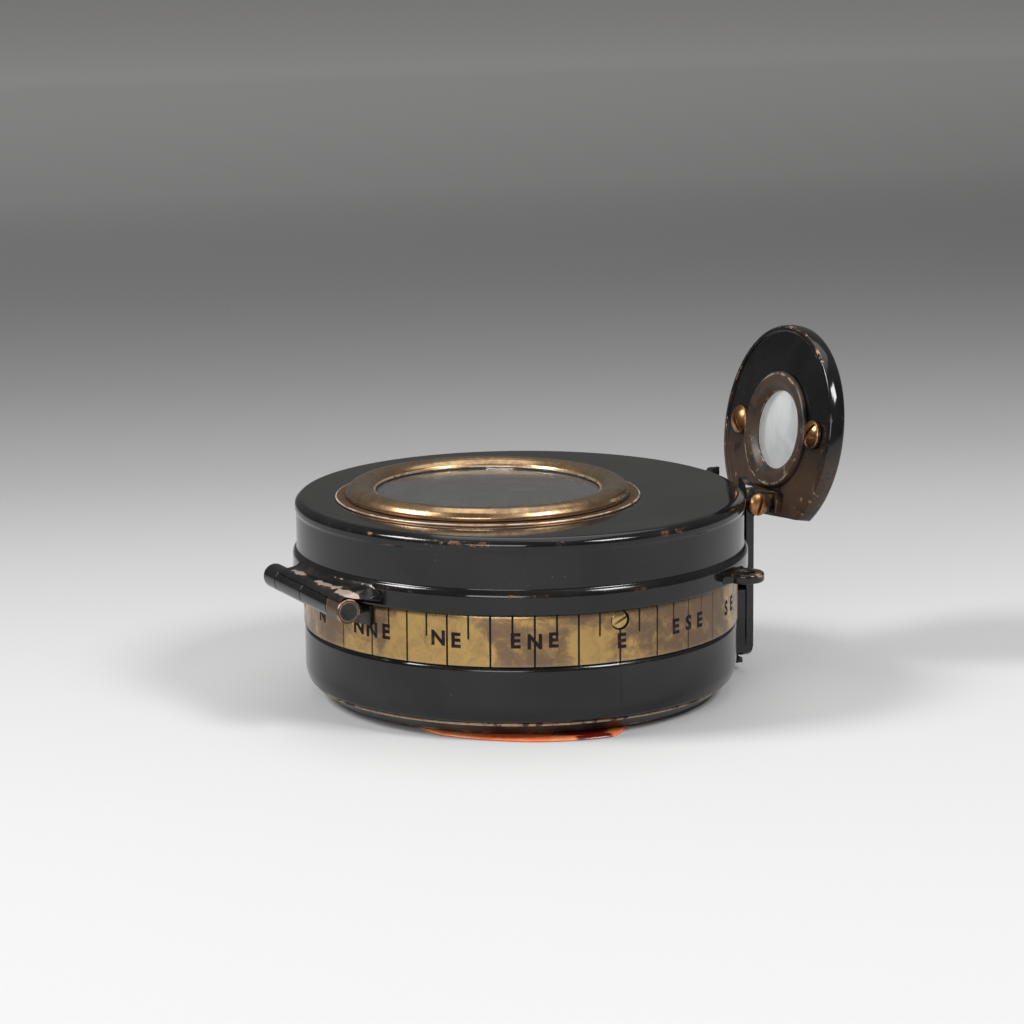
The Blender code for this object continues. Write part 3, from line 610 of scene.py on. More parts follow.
def ring(inner, outer, low, high, rounding=0.12, wear=1.0, steps=FINE):
    """Plain ring about Z with softened edges."""
    corners = ((inner, low), (outer, low), (outer, high), (inner, high))
    return turned([(r, z, rounding, wear) for r, z in corners], steps)


def disc(radius, low, high, rounding=0.15, steps=FINE):
    """Round plate about Z with softened edges."""
    corners = [(0, low), (radius, low, rounding, 1.0), (radius, high, rounding, 1.0)]
    return turned(corners + [(0, high)], steps, closed=False)


def domed_screw(radius, height, shank_r, shank_l, slot_width, slot_depth, slot_angle, dome):
    """Slotted screw, head from Z = 0 up, with a softened slot."""
    profile = [(0, height), (radius * 0.35, height - dome * 0.10)]
    profile += [(radius * 0.65, height - dome * 0.38), (radius * 0.88, height - dome * 0.80)]
    profile += [(radius, height - dome * 1.15, 0.08, 1.0), (radius, 0, 0.06, 0, 1.0)]
    profile += [(shank_r, 0), (shank_r, -shank_l, 0.1), (0, -shank_l)]
    head = turned(profile, 64, closed=False)
    low = (-2 * radius, -slot_width / 2, height - slot_depth)
    slot = box(low, (2 * radius, slot_width / 2, height + radius))
    moved(slot, spin(slot_angle))
    return carved(head, [(CUT, slot)], 0.05, 2, 50)


# ---- materials in use

def scribed_line(s):
    """A thin upright line scribed on the drum under the east mark, broken in places."""
    line = s.remap(s.math("ABSOLUTE", s.minus(s.axis("X"), 0.1 * MM)), 0.10 * MM, 0.05 * MM)
    front = s.math("LESS_THAN", s.axis("Y"), 0.0)
    broken = s.remap(s.noise(420, 3, 0.6), 0.34, 0.46)
    return s.times(s.times(line, front), broken)


GOLD = (0.46, 0.295, 0.140)
BROWN_BRASS = (0.215, 0.125, 0.068)
BAND_GOLD = (0.47, 0.305, 0.105)
BAND_DULL = (0.190, 0.122, 0.074)


def on_band(degrees, z, radius):
    """A place on the band, for brass to keep bright within a radius."""
    return around(BAND_R, radians(degrees), z), radius


LID_PAINT = lacquer("lid_lacquer", wear=0.03, worn=(0.13, 0.060, 0.035), pale=0.1, gloss=0.11, seed=0.013,
                    mirror_above=LID_TOP - 0.05)
CASE_PAINT = lacquer("case_lacquer", wear=0.08, worn=(0.24, 0.15, 0.07), marks=scribed_line, seed=0.031)
# The base cover's black is lightened six and a half times: partly dust, partly a painted reflection of the
# bright floor in its downward chamfer.
COVER_PAINT = lacquer("cover_lacquer", wear=0.8, worn=(0.42, 0.31, 0.18), gloss=0.42, dust_and_sheen=6.5, seed=0.047)
HINGE_PAINT = lacquer("hinge_lacquer", wear=0.2, browned=0.1, gloss=0.12, seed=0.071)
NEAR_KNUCKLE_PAINT = lacquer("worn_knuckle_lacquer", wear=0.7, worn=(0.48, 0.22, 0.10), pale=0.3, browned=1.0,
                             gloss=0.2, seed=0.077)
LEAF_PAINT = lacquer("leaf_lacquer", wear=0.85, worn=(0.56, 0.42, 0.36), pale=1.0, browned=0.25, gloss=0.2,
                     seed=0.083)
LEAF_PLATE_PAINT = lacquer("leaf_plate_lacquer", wear=0.4, worn=(0.38, 0.19, 0.10), pale=0.2, browned=0.5,
                           gloss=0.25, seed=0.089)
SIGHT_PAINT = lacquer("sight_lacquer", wear=0.26, worn=(0.36, 0.22, 0.14), browned=1.0, gloss=0.11,
                      brown_below=(24.5, 32.5), seed=0.097)
STRAP_PAINT = lacquer("strap_lacquer", wear=0.2, gloss=0.2, dust_and_sheen=2.0, seed=0.113)
LUG_PAINT = lacquer("lug_lacquer", wear=0.3, worn=(0.46, 0.33, 0.26), browned=0.3, gloss=0.1, seed=0.131)
SIGHT_ARM_PAINT = lacquer("arm_lacquer", wear=0.6, browned=0.7, gloss=0.25, seed=0.151)
CELL_PAINT = lacquer("cell_lacquer", wear=0.4, worn=(0.40, 0.30, 0.20), pale=0.8, browned=0.8, gloss=0.38,
                     dust_and_sheen=3.0, seed=0.167)
BEZEL_BRASS = brass("bezel_brass", GOLD, BROWN_BRASS, polish=0.75, tarnish=0.55, centre=(WINDOW_X, 0),
                    pale=0.8, coat=0.6, seed=0.017)
WASHER_BRASS = brass("washer_brass", (0.27, 0.160, 0.085), (0.14, 0.082, 0.05), polish=0.0, tarnish=0.6,
                     pale=0.95, seed=0.023)
# Bright spots on the band: partly rubbed brass, partly painted highlights where the left and right lamps
# shine on it.
RUBBED_AND_HIGHLIT = [on_band(-136, 12, 7), on_band(-129, 11, 4), on_band(-98, 12, 4), on_band(-146, 13, 5)]
BAND_BRASS = brass("band_lacquered_brass", BAND_GOLD, BAND_DULL, polish=0.55, tarnish=0.95, pale=0.2,
                   coat=0.2, rubbed_and_highlit=RUBBED_AND_HIGHLIT, seed=0.037)
SCREW_BRASS = brass("screw_brass", (0.44, 0.22, 0.09), (0.15, 0.07, 0.035), polish=0.5, tarnish=0.65,
                    pale=0.3, grime=0.95, seed=0.041)
BAND_SCREW_BRASS = brass("band_screw_brass", (0.52, 0.38, 0.16), (0.25, 0.17, 0.08), polish=0.4, tarnish=0.4,
                         pale=0.3, grime=0.95, seed=0.045)
INNER_BRASS = brass("inner_brass", (0.45, 0.30, 0.11), (0.22, 0.14, 0.065), polish=0.5, tarnish=0.4,
                    seed=0.053)
DARK_BRASS = brass("dark_brass", (0.050, 0.030, 0.022), (0.022, 0.014, 0.012), polish=0.2, tarnish=0.5,
                   seed=0.057)
PIN_BRASS = brass("pin_brass", (0.055, 0.055, 0.048), (0.030, 0.031, 0.028), polish=0.2, tarnish=0.7,
                  pale=0.8, seed=0.061)
WINDOW_GLASS = glass("window_glass_clear", (0.93, 0.95, 0.94), 0.02)
DUSTY_GLASS = glass("window_glass_dusty", (0.78, 0.78, 0.77), 0.03, 0.05)
LENS_GLASS = glass("lens_glass_clear", (0.94, 0.96, 0.96), 0.02, 0.34)
BRIGHT_STEEL = steel("bright_steel")
CARD_FACE = card_paper("card_face")
CARD_INK = engraved_ink("card_ink", (0.010, 0.010, 0.012))
BAND_INK = engraved_ink("band_ink", (0.010, 0.0045, 0.006))
RED_COAT = red_coat("red_coat_gloss")
RUBBER = grained("gasket_rubber", (2200, 5, 0.7), (0.03, 0.027, 0.024), (0.06, 0.052, 0.045), (0.75, 0.95),
                 0.03, 0.7)
JEWEL = grained("jewel_stone", (900, 4, 0.6, 1.0), (0.30, 0.02, 0.03), (0.55, 0.08, 0.07), (0.06, 0.14),
                0.004, 0.5)


# ---- lid

def lid():
    """Deep lid in one turned shell: the window hole is off its centre, so the top's rings drift."""
    top, bottom = LID_TOP, LID_BOTTOM
    shoulder = 19.3
    hole = 15.9
    profile = [
        (hole, top, 0.12, 0.6, 0, WINDOW_X),
        (LID_RIM_R - 0.75, top, 0.5, 0.55),
        (LID_RIM_R, top - 0.7, 0.55, 1.0),
        (LID_RIM_R, top - 1.55, 0.15, 0.5),
        (LID_R, top - 1.85, 0.2, 0.0, 0.6),
        (LID_R, shoulder + 0.35, 0.3, 0.0, 0.8),
        (LID_FLANGE_R - 0.25, shoulder + 0.1, 0.3, 0.5),
        (LID_FLANGE_R, shoulder - 0.4, 0.35, 1.0),
        (LID_FLANGE_R, bottom + 0.25, 0.2, 0.25),
        (LID_FLANGE_R - 0.25, bottom, 0.15, 0.35),
        (25.4, bottom, 0.15, 0.5),
        (25.4, 17.5, 0.2),
        (LID_BORE_R, 17.9, 0.2),
        (LID_BORE_R, 24.3, 0.4),
        (27.0, 24.9, 0.3),
        (hole, 24.9, 0.15, 0.0, 0, WINDOW_X),
    ]
    shell = turned(profile)
    clearance = rod_y(HINGE_X, HINGE_Z, PIN_LOW.y - 0.2, PIN_HIGH.y + 0.2, BARREL_R + 0.16, 0.0)
    shell = carved(shell, [(CUT, clearance)])
    keep("lid_body", shell, LID_PAINT, "lid", ["lid_shell"], 50)


def window():
    """Washer, bezel, glass and retaining ring."""
    centre = at(WINDOW_X, 0, 0)
    profile = [(16.0, 26.14, 0.02), (19.6, 26.14, 0.02), (19.5, 26.36, 0.1, 1.0)]
    washer = turned(profile + [(16.0, 26.36, 0.02)], place=centre)
    keep("window_foot_ring", washer, WASHER_BRASS, "lid", ["window_washer"])

    seat, crown = 26.46, BEZEL_TOP
    profile = [
        (15.8, seat, 0.05),
        (BEZEL_R - 0.1, seat, 0.1, 1.0, 0.8),
        (BEZEL_R, seat + 0.38, 0.2, 0.3),
        (BEZEL_R - 0.35, seat + 0.95, 0.45),
        (17.2, crown - 0.1, 0.6),
        (16.3, crown, 0.5),
        (15.3, crown - 0.34, 0.5),
        (14.82, crown - 0.72, 0.2),
        (14.7, crown - 0.92, 0.08, 0.0, 0.8),
        (14.46, crown - 0.84, 0.09, 1.0),
        (14.36, crown - 0.98, 0.08, 1.0),
        (14.4, 26.85, 0.05, 0.0, 1.0),
        (15.1, 26.82, 0.05),
        (15.1, 24.0, 0.05),
        (15.8, 24.0, 0.05),
    ]
    bezel = turned(profile, place=centre)
    keep("window_bezel_ring", bezel, BEZEL_BRASS, "lid", ["window_bezel"], 60)
    pane = moved(disc(15.0, GLASS_LOW.z, GLASS_HIGH.z), centre)
    keep("window_pane", pane, DUSTY_GLASS, "lid", ["window_glass"])
    retainer = moved(ring(13.8, 15.0, 24.3, 25.75), centre)
    keep("window_retaining_ring", retainer, DARK_BRASS, "lid", ["window_retainer"])


def lug():
    """Flat ring for the thumb, flaring into the flange."""
    outer, hole = 2.45, 1.05
    low, high = LUG_LOW.z, LUG_HIGH.z
    centre = at(LUG_HIGH.x - outer, LUG_LOW.y + outer, 0)
    profile = [(hole, low, 0.3, 0.3), (outer, low, 0.35, 0.8)]
    profile += [(outer, high, 0.4, 1.0), (hole, high, 0.35, 0.6)]
    loop = turned(profile, 72, place=centre)
    azimuth = atan2(LUG_LOW.y + outer, LUG_HIGH.x - outer)
    root, flare = LID_FLANGE_R - 0.2, []
    for side, start, end in ((1, 0.0, 1.0), (-1, 1.0, 0.0)):
        for i in range(9):
            t = start + (end - start) * i / 8
            width = 2.25 + 1.3 * (1 - t) ** 2.2
            flare.append((root + 1.5 * t, side * width))
    web = moved(prism(flare, low + 0.12, high - 0.12), Matrix.Rotation(azimuth, 4, "Z"))
    bore = hole + 0.05
    drill = [(0, low - 1), (bore, low - 1), (bore, high + 1), (0, high + 1)]
    drill = turned(drill, 72, False, centre)
    flange = disc(LID_FLANGE_R - 0.1, low - 1, high + 1, 0.0)
    web = carved(web, [(CUT, drill), (CUT, flange)], 0.16, 3)
    keep("lid_lug_ring", merged(loop, web), LUG_PAINT, "lid", ["lid_lug"], 50)


# ---- lid hinge

CASE_KNUCKLES = ((8.1, 11.7), (-8.1, 0.0))
LID_KNUCKLES = ((0.1, 8.0), (-11.7, -8.2))


def knuckle(start, end):
    """A knuckle of the barrel, from start to end beside the hinge's middle."""
    return rod_y(HINGE_X, HINGE_Z, HINGE_Y + start, HINGE_Y + end, BARREL_R, 0.14)


def lid_leaf():
    """Saddle from the barrel to the flange, hollow and following the lid's curve, and the lid's knuckles."""
    y0, y1 = HINGE_Y + LID_KNUCKLES[1][0] + 0.1, HINGE_Y + LID_KNUCKLES[0][1] - 0.05
    rows, across = 64, 18
    shape, layer, _ = blank()
    loops = []
    for i in range(rows + 1):
        y = y0 + (y1 - y0) * i / rows
        close = min(i, rows - i) / 5
        drop = 0.9 * (1 - min(1.0, close)) ** 2
        flange_x = -sqrt(LID_FLANGE_R ** 2 - y * y)
        wave = 0.09 * sin(y * 1.1) + 0.05 * sin(y * 2.7 + 1)
        crest = 0.16 * sin(y * 0.8 + 2)
        ends = [(HINGE_X - 1.25, HINGE_Z + 1.30), (HINGE_X - 0.75, HINGE_Z + 2.55 + crest - drop)]
        ends += [(flange_x - 0.35, HINGE_Z + 1.65 + wave - drop), (flange_x + 0.15, 19.2 - drop)]
        loop = []
        for k in range(across + 1):
            t = k / across
            weights = ((1 - t) ** 3, 3 * t * (1 - t) ** 2, 3 * t * t * (1 - t), t ** 3)
            x = sum(w * p[0] for w, p in zip(weights, ends))
            z = sum(w * p[1] for w, p in zip(weights, ends))
            ridge = 1.3 * max(0.0, 1 - abs(t - 0.42) / 0.30)
            top = max(0.0, 1 - abs(t - 0.95) / 0.12)
            loop.append((x, z, max(ridge, 0.8 * top)))
        loop.append((flange_x + 0.12, 17.2, 0.0))
        under = arc(HINGE_X, HINGE_Z, BARREL_R + 0.14, BARREL_R + 0.14, 62, 130, 6)
        loop += [(x, z, 0.0) for x, z in under]
        verts = []
        for x, z, edge in loop:
            vert = shape.verts.new((x, y, z))
            vert[layer] = edge * (0.8 + 0.2 * sin(y * 0.9 + 0.6))
            verts.append(vert)
        loops.append(verts)
    skin(shape, loops)
    shape.faces.new(loops[0])
    shape.faces.new(loops[-1])
    keep("lid_hinge_saddle", shape, LEAF_PAINT, "lid", ["lid_hinge_leaf"], 45)
    keep("lid_hinge_knuckle_middle", knuckle(*LID_KNUCKLES[0]), HINGE_PAINT, "lid")
    keep("lid_hinge_knuckle_near", knuckle(*LID_KNUCKLES[1]), NEAR_KNUCKLE_PAINT, "lid")


def case_leaf():
    """Strip against the band, the case's two knuckles on their webs, and the pin."""
    low, high = 13.6, BAND_TOP + 0.08
    inner, outer = BAND_R + 0.1, 28.55
    outline = arc(0, 0, outer, outer, 160, 203, 40) + arc(0, 0, inner, inner, 203, 160, 40)
    strip = prism(outline, low, high)
    webs = [carved(strip, [], 0.1, 2)]
    knuckles = []
    for start, end in CASE_KNUCKLES:
        web = box((HINGE_X, HINGE_Y + start + 0.2, 15.0), (-25.5, HINGE_Y + end - 0.2, high - 0.1))
        drum = disc(BAND_R + 0.1, 10, 20, 0.0)
        webs.append(carved(web, [(CUT, drum)], 0.12, 2))
        knuckles.append(knuckle(start, end))
    leaf = ["case_hinge_leaf"]
    keep("case_hinge_plate", merged(*webs), LEAF_PLATE_PAINT, "case", leaf, 45)
    far_end = HINGE_Y + CASE_KNUCKLES[0][1]
    cap_profile = arc(0, 0, BARREL_R - 0.05, 0.75, 0, 90, 8)
    cap_profile += [(0, -0.1), (BARREL_R - 0.05, -0.1)]
    cap = turned(cap_profile, ROUND)
    moved(cap, at(HINGE_X, far_end, HINGE_Z) @ ALONG_Y)
    knuckles.append(cap)
    keep("case_hinge_knuckles", merged(*knuckles), HINGE_PAINT, "case", leaf, 45)
    end_r, head = 1.22, 0.07
    shapes = [rod_y(HINGE_X, HINGE_Z, PIN_LOW.y, PIN_HIGH.y, 0.75, 0.1)]
    near_end = HINGE_Y + LID_KNUCKLES[1][0]
    shapes.append(rod_y(HINGE_X, HINGE_Z, near_end - head, near_end - 0.01, end_r, 0.07))
    keep("hinge_pin_rod", merged(*shapes), PIN_BRASS, "case", ["lid_hinge_pin"])


# ---- case

def aged(shape, support=0.18, least=1.2):
    """Edge and grime masks from the shape itself, with a support loop inside each large flat face."""
    edge_layer, grime_layer = mask(shape, "edge"), mask(shape, "grime")
    bmesh.ops.recalc_face_normals(shape, faces=shape.faces)
    flats = [f for f in shape.faces if f.calc_area() > least]
    if flats:
        bmesh.ops.inset_individual(shape, faces=flats, thickness=support, use_even_offset=True)
    for vert in shape.verts:
        vert[edge_layer] = vert[grime_layer] = 0.0
        for edge in vert.link_edges:
            angle = edge.calc_face_angle_signed(0.0)
            if angle > 0.15:
                vert[edge_layer] = 1.0
            elif angle < -0.25:
                vert[grime_layer] = 1.0
    return shape


def case_drum():
    """Lacquered lower drum and the sleeve under the band, in one turned wall."""
    shoulder = BAND_BOTTOM - 0.1
    profile = [
        (27.0, CASE_BOTTOM, 0.1, 0.8, 0.4),
        (27.5, CASE_BOTTOM + 0.25, 0.25, 0.25),
        (CASE_R, 3.9, 1.3, 0.25),
        (CASE_R, 9.2, 0.25, 0.75),
        (CASE_R - 0.28, shoulder, 0.25, 0.9),
        (27.25, shoulder, 0.0, 0.0, 1.0),
        (27.25, 16.3, 0.12, 0.8),
        (24.8, 16.3, 0.15, 0.8),
        (24.8, 13.2, 0.05),
        (23.2, 13.2, 0.12, 0.4),
        (23.2, 12.0, 0.1),
        (26.4, 12.0, 0.1),
        (26.4, CASE_BOTTOM, 0.05),
    ]
    keep("case_drum", turned(profile), CASE_PAINT, "case", ["case_shell"], 50)


def base():
    """Screwed-in base with its chamfer, and the coat that has crept out under it."""
    under = low_high("base_cover")[0].z
    profile = [
        (0, under),
        (24.6, under, 0.3, 0.3),
        (25.2, under + 0.2, 0.3, 0.7),
        (26.9, 2.02, 0.15, 1.0),
        (26.9, 2.25, 0.08, 1.0),
        (26.25, 2.25, 0.0, 0.0, 1.0),
        (26.25, 3.9, 0.1),
        (25.2, 3.9, 0.1),
        (25.2, 1.7, 0.2),
        (0, 1.7),
    ]
    plate = turned(profile, closed=False)
    keep("base_plate", plate, COVER_PAINT, "case", ["base_cover"], 50)

    def smooth(value):
        value = max(0.0, min(1.0, value))
        return value * value * (3 - 2 * value)

    shape, _, layer = blank()
    levels = ((-0.32, 0.0), (-0.08, 0.05), (0.0, 0.16), (-0.05, 0.26), (-0.25, 0.33), (-1.0, 0.35))
    steps = 360
    rings = []
    for inset, z in levels:
        row = []
        for i in range(steps):
            degrees = -180 + 360 * i / steps
            turn = radians(degrees)
            creep = (2.1 + 1.9 * smooth((degrees + 145) / 45)) * smooth((degrees + 151.5) / 14)
            creep *= 1 - smooth((degrees + 92) / 12)
            radius = 23.6 + creep + 0.12 * sin(5 * turn) + inset - 0.05 * (1 + sin(23 * turn))
            vert = shape.verts.new(around(radius, turn, z))
            vert[layer] = smooth((degrees + 103) / 3) * (1 - smooth((degrees + 93) / 3))
            row.append(vert)
        rings.append(row)
    skin(shape, rings)
    shape.faces.new(rings[0])
    shape.faces.new(rings[-1])
    keep("base_red_coat", shape, RED_COAT, "case", ["base_pad"], 60)


POINTS = ("N", "NNE", "NE", "ENE", "E", "ESE", "SE", "SSE", "S", "SSW", "SW", "WSW", "W", "WNW", "NW", "NNW")
NORTH = 180.0


def engraved_band():
    """Brass band: a groove at every mark, full height at every other one, filled with dark wax."""
    inner = CASE_R - 0.5
    tick_foot = 13.2
    rows = [(inner, BAND_BOTTOM), (BAND_R - 0.14, BAND_BOTTOM), (BAND_R - 0.05, BAND_BOTTOM + 0.05)]
    rows += [(BAND_R, BAND_BOTTOM + 0.14), (BAND_R, BAND_BOTTOM + 0.6), (BAND_R, tick_foot - 0.08)]
    rows += [(BAND_R, tick_foot), (BAND_R, 15.6), (BAND_R, BAND_TOP - 0.14)]
    rows += [(BAND_R - 0.05, BAND_TOP - 0.05), (BAND_R - 0.14, BAND_TOP), (inner, BAND_TOP)]
    wear = (0, 0.6, 1, 0.8, 0, 0, 0, 0, 0.8, 1, 0.6, 0)
    marks = 64
    groove = (-0.165, -0.13, -0.09, 0.09, 0.13, 0.165)
    depth = 0.09
    columns = []
    for i in range(marks):
        middle = FULL * i / marks
        for offset in groove:
            columns.append((middle + offset / BAND_R, abs(offset) < 0.1, i % 2 == 0))
        gap = FULL / marks - (groove[-1] - groove[0]) / BAND_R
        for k in range(1, 5):
            columns.append((middle + groove[-1] / BAND_R + gap * k / 5, False, False))
    shape, edge_layer, _ = blank()
    grid = []
    for k, (r, z) in enumerate(rows):
        row = []
        for turn, cut, whole in columns:
            sunk = cut and r > inner and (whole or z >= tick_foot)
            vert = shape.verts.new(around(r - depth * sunk, turn, z))
            vert[edge_layer] = wear[k]
            row.append((vert, sunk))
        grid.append(row)
    count = len(columns)
    for a, b in zip(grid, grid[1:] + grid[:1]):
        for i in range(count):
            j = (i + 1) % count
            corners = (a[i], a[j], b[j], b[i])
            face = shape.faces.new([c[0] for c in corners])
            face.material_index = int(all(c[1] for c in corners))
    hole = moved(disc(1.27, 25.0, 30.0, 0.0, 48), spin(90, "X"))
    moved(hole, at(0, 0, 15.0))
    materials = (BAND_BRASS, BAND_INK)
    band = carved(shape, [(CUT, hole)], materials=materials)
    keep("compass_band", band, materials, "case", ["bearing_band"], 30)


def letter(character, height, spread=0.0):
    """One letter as a flat bmesh, centred, of a given cap height, cut fine enough to wrap."""
    curve = bpy.data.curves.new("letter", "FONT")
    curve.body = character
    curve.size = 1.0
    curve.offset = spread
    curve.resolution_u = 4
    obj = linked("letter", curve)
    shape = solved(obj)
    bpy.data.objects.remove(obj)
    bpy.data.curves.remove(curve)
    low = Vector([min(v.co[k] for v in shape.verts) for k in (0, 1, 2)])
    high = Vector([max(v.co[k] for v in shape.verts) for k in (0, 1, 2)])
    for vert in shape.verts:
        vert.co = (vert.co - (low + high) / 2) * height / (high.y - low.y)
    half = (high.x - low.x) / 2 * height / (high.y - low.y)
    slices = max(2, int(2 * half / 0.25))
    for i in range(1, slices):
        x = -half + 2 * half * i / slices
        geometry = shape.verts[:] + shape.edges[:] + shape.faces[:]
        bmesh.ops.bisect_plane(shape, geom=geometry, plane_co=(x, 0, 0), plane_no=(1, 0, 0))
    return shape, half


def band_letters():
    """The sixteen points, each across its full-height line."""
    proud = 0.006
    pitch, cap = 2.35, 1.95
    shapes = []
    for i, name in enumerate(POINTS):
        middle = radians(NORTH + 360 * i / len(POINTS))
        height = 12.35 if name == "E" else 13.05
        for k, character in enumerate(name):
            shape, _ = letter(character, cap, 0.040)
            along = (k - (len(name) - 1) / 2) * pitch + (0.25 if len(name) == 1 else 0.0)
            drift = 0.08 * sin(7 * i + 3 * k)
            for vert in shape.verts:
                turn = middle + (along + vert.co.x) / BAND_R
                z = height + drift + vert.co.y
                vert.co = around(BAND_R + proud, turn, z)
            shapes.append(shape)
    keep("compass_band_letters", merged(*shapes), BAND_INK, "case")


def band_fixing():
    """The flush screw under the lid's flange."""
    screw = domed_screw(1.08, 0.6, 0.6, 1.9, 0.42, 0.35, 28, 0.16)
    moved(screw, at(0, -27.42, 15.0) @ spin(90, "X"))
    keep("band_fixing_screw", screw, BAND_SCREW_BRASS, "case", ["band_screw"], 40)


def glass_stack():
    """Glass over the card, its threaded ring and its gasket."""
    low, high = low_high("case_glass")
    keep("case_pane", disc(high.x, low.z, high.z), WINDOW_GLASS, "case", ["case_glass"])
    low, high = low_high("glass_ring")
    shape = ring(23.2, high.x, low.z, high.z, 0.2)
    keep("pane_ring", shape, INNER_BRASS, "case", ["glass_ring"])
    low, high = low_high("glass_gasket")
    shape = ring(23.4, high.x, low.z, high.z, 0.1)
    keep("pane_gasket", shape, RUBBER, "case", ["glass_gasket"])


# ---- card

def card():
    """Card with a degree scale, numbers and the eight main points, printed as a thin layer of ink."""
    low, high = low_high("compass_card")
    radius, top = high.x, high.z
    keep("card_disc", ring(2.3, radius, low.z, top, 0.06), CARD_FACE, "card", ["compass_card"])
    ink_z = top + 0.004
    shapes = []

    def patch(corners, degrees):
        shape = bmesh.new()
        shape.faces.new([shape.verts.new((x, y, ink_z)) for x, y in corners])
        shapes.append(moved(shape, spin(degrees)))

    def bar(degrees, r0, r1, width):
        patch(((r0, -width / 2), (r1, -width / 2), (r1, width / 2), (r0, width / 2)), degrees)

    rim = radius - 0.45
    for degree in range(360):
        length = 1.7 if degree % 10 == 0 else 1.25 if degree % 5 == 0 else 0.8
        bar(degree, rim - length, rim, 0.12 if degree % 10 else 0.2)
    for inner, outer in ((rim, rim + 0.12), (15.2, 15.32), (14.7, 14.85)):
        shape = bmesh.new()
        rings = []
        for r in (inner, outer):
            turns = [FULL * i / FINE for i in range(FINE)]
            rings.append([shape.verts.new(around(r, t, ink_z)) for t in turns])
        skin(shape, rings)
        shapes.append(shape)

    def write(words, radius_here, degrees, cap):
        letters = [letter(c, cap, 0.0) for c in words]
        total = sum(2 * half + 0.22 for _, half in letters) - 0.22
        left = -total / 2
        for shape, half in letters:
            moved(shape, at(left + half, radius_here, ink_z))
            shapes.append(moved(shape, spin(degrees)))
            left += 2 * half + 0.22

    for degree in range(0, 360, 10):
        write(str(degree or 360), rim - 3.2, 90 - degree, 1.15)
    for i, name in enumerate(POINTS[::2]):
        write(name, 12.4, 90 - 45 * i, 2.3 if len(name) == 1 else 1.7)
    for i in range(8):
        reach = 10.6 if i % 2 == 0 else 8.0
        patch(((reach, 0), (3.9 * cos(FULL / 16), 3.9 * sin(FULL / 16)), (2.9, 0)), 45 * i)
        bar(45 * i, 3.9, reach, 0.09)
    keep("card_print", merged(*shapes), CARD_INK, "card")


# ---- slide

def slide_guide():
    """T guide on the drum, its foot, and the two countersunk screws in it."""
    head_x, head_out, half, stem_half, top = 29.15, 29.95, 3.9, 2.3, 9.3
    foot_z, foot_top, step = GUIDE_LOW.z, 1.55, 0.05
    head = box((head_x, -half, foot_z + step), (head_out, half, top))
    stem = box((GUIDE_LOW.x, -stem_half, 3.4), (head_x + 0.3, stem_half, top - 0.02))
    foot = box((head_x + step, step - half, foot_z), (GUIDE_HIGH.x, half - step, foot_top))
    tools = [(ADD, stem), (ADD, foot)]
    for height in (4.3, 7.7):
        sink = moved(disc(1.2, 29.4, 31.0, 0.0, 40), ALONG_X)
        tools.append((CUT, moved(sink, at(0, 0, height))))
    guide = aged(carved(head, tools, 0.12, 3))
    keep("slide_guide_block", guide, STRAP_PAINT, "case", ["sight_guide"], 40)
    names = (("guide_fixing_low", "guide_screw_low", 4.3), ("guide_fixing_high", "guide_screw_high", 7.7))
    for name, node, height in names:
        screw = domed_screw(1.1, 0.45, 0.6, 2.4, 0.35, 0.22, 25, 0.14)
        moved(screw, at(29.47, 0, height) @ spin(90, "Y"))
        keep(name, screw, SCREW_BRASS, "case", [node], 40)


def strap():
    """Upright plate with rounded corners, two prongs with barrels, and rails that grip the guide."""
    x0, x1 = 30.1, 31.2
    half, bottom, top, radius = STRAP_HALF, STRAP_LOW.z, 25.85, 1.9
    prong, rail_in, rail_out, rail_top, rail_x = 3.6, 4.0, 5.75, 11.2, 28.6
    outline = []
    corners = ((half - radius, top - radius, 0), (radius - half, top - radius, 90))
    corners += ((radius - half, bottom + radius, 180), (half - radius, bottom + radius, 270))
    for cx, cy, start in corners:
        outline += arc(cx, cy, radius, radius, start, start + 90, 10)
    plate = moved(prism(outline, x0, x1), ALONG_X)
    tools = [(CUT, box((28, -prong, PIVOT.z - 1.7), (33, prong, 30)))]
    for side in (-1, 1):
        low, high = sorted((side * prong, side * (half - 0.02)))
        tools.append((ADD, rod_y(PIVOT.x, PIVOT.z, low, high, PIVOT_BARREL_R, 0.0, 64)))
        low, high = sorted((side * rail_in, side * rail_out))
        tools.append((ADD, box((rail_x, low, 2.7), (x0 + 0.3, high, rail_top))))
        low, high = sorted((side * 2.4, side * (rail_in + 0.3)))
        tools.append((ADD, box((rail_x + 0.02, low, 2.75), (29.05, high, rail_top - 0.02))))
    tools.append((CUT, rod_y(PIVOT.x, PIVOT.z, -12, 12, 0.8, 0.0, 48)))
    shape = aged(carved(plate, tools, 0.2, 3, 35))
    keep("slide_strap_plate", shape, STRAP_PAINT, "slide", ["sight_strap"], 40)
    screw = domed_screw(1.45, 1.05, 0.7, 2 * half - 0.2, 0.45, 0.5, 72, 0.42)
    moved(screw, at(PIVOT.x, -half - 0.06, PIVOT.z) @ spin(90, "X"))
    keep("pivot_screw_fine", screw, SCREW_BRASS, "slide", ["pivot_screw"], 40)


# ---- sight
# Drawn in the sight's own frame: origin on the pivot, +X up the plate, +Z out of its inner face.

SIGHT_FRAME = Matrix.Translation(PIVOT) @ Matrix.Rotation(SIGHT_LEAN - pi / 2, 4, "Y")
PLATE_FRAME = SIGHT_FRAME @ at(SIGHT_RISE, 0, -SIGHT_REACH)
CHORD = 11.4
CHORD_TURN = radians(5)
CLAMP_TURN = radians(3)
CLAMP_R = 9.5


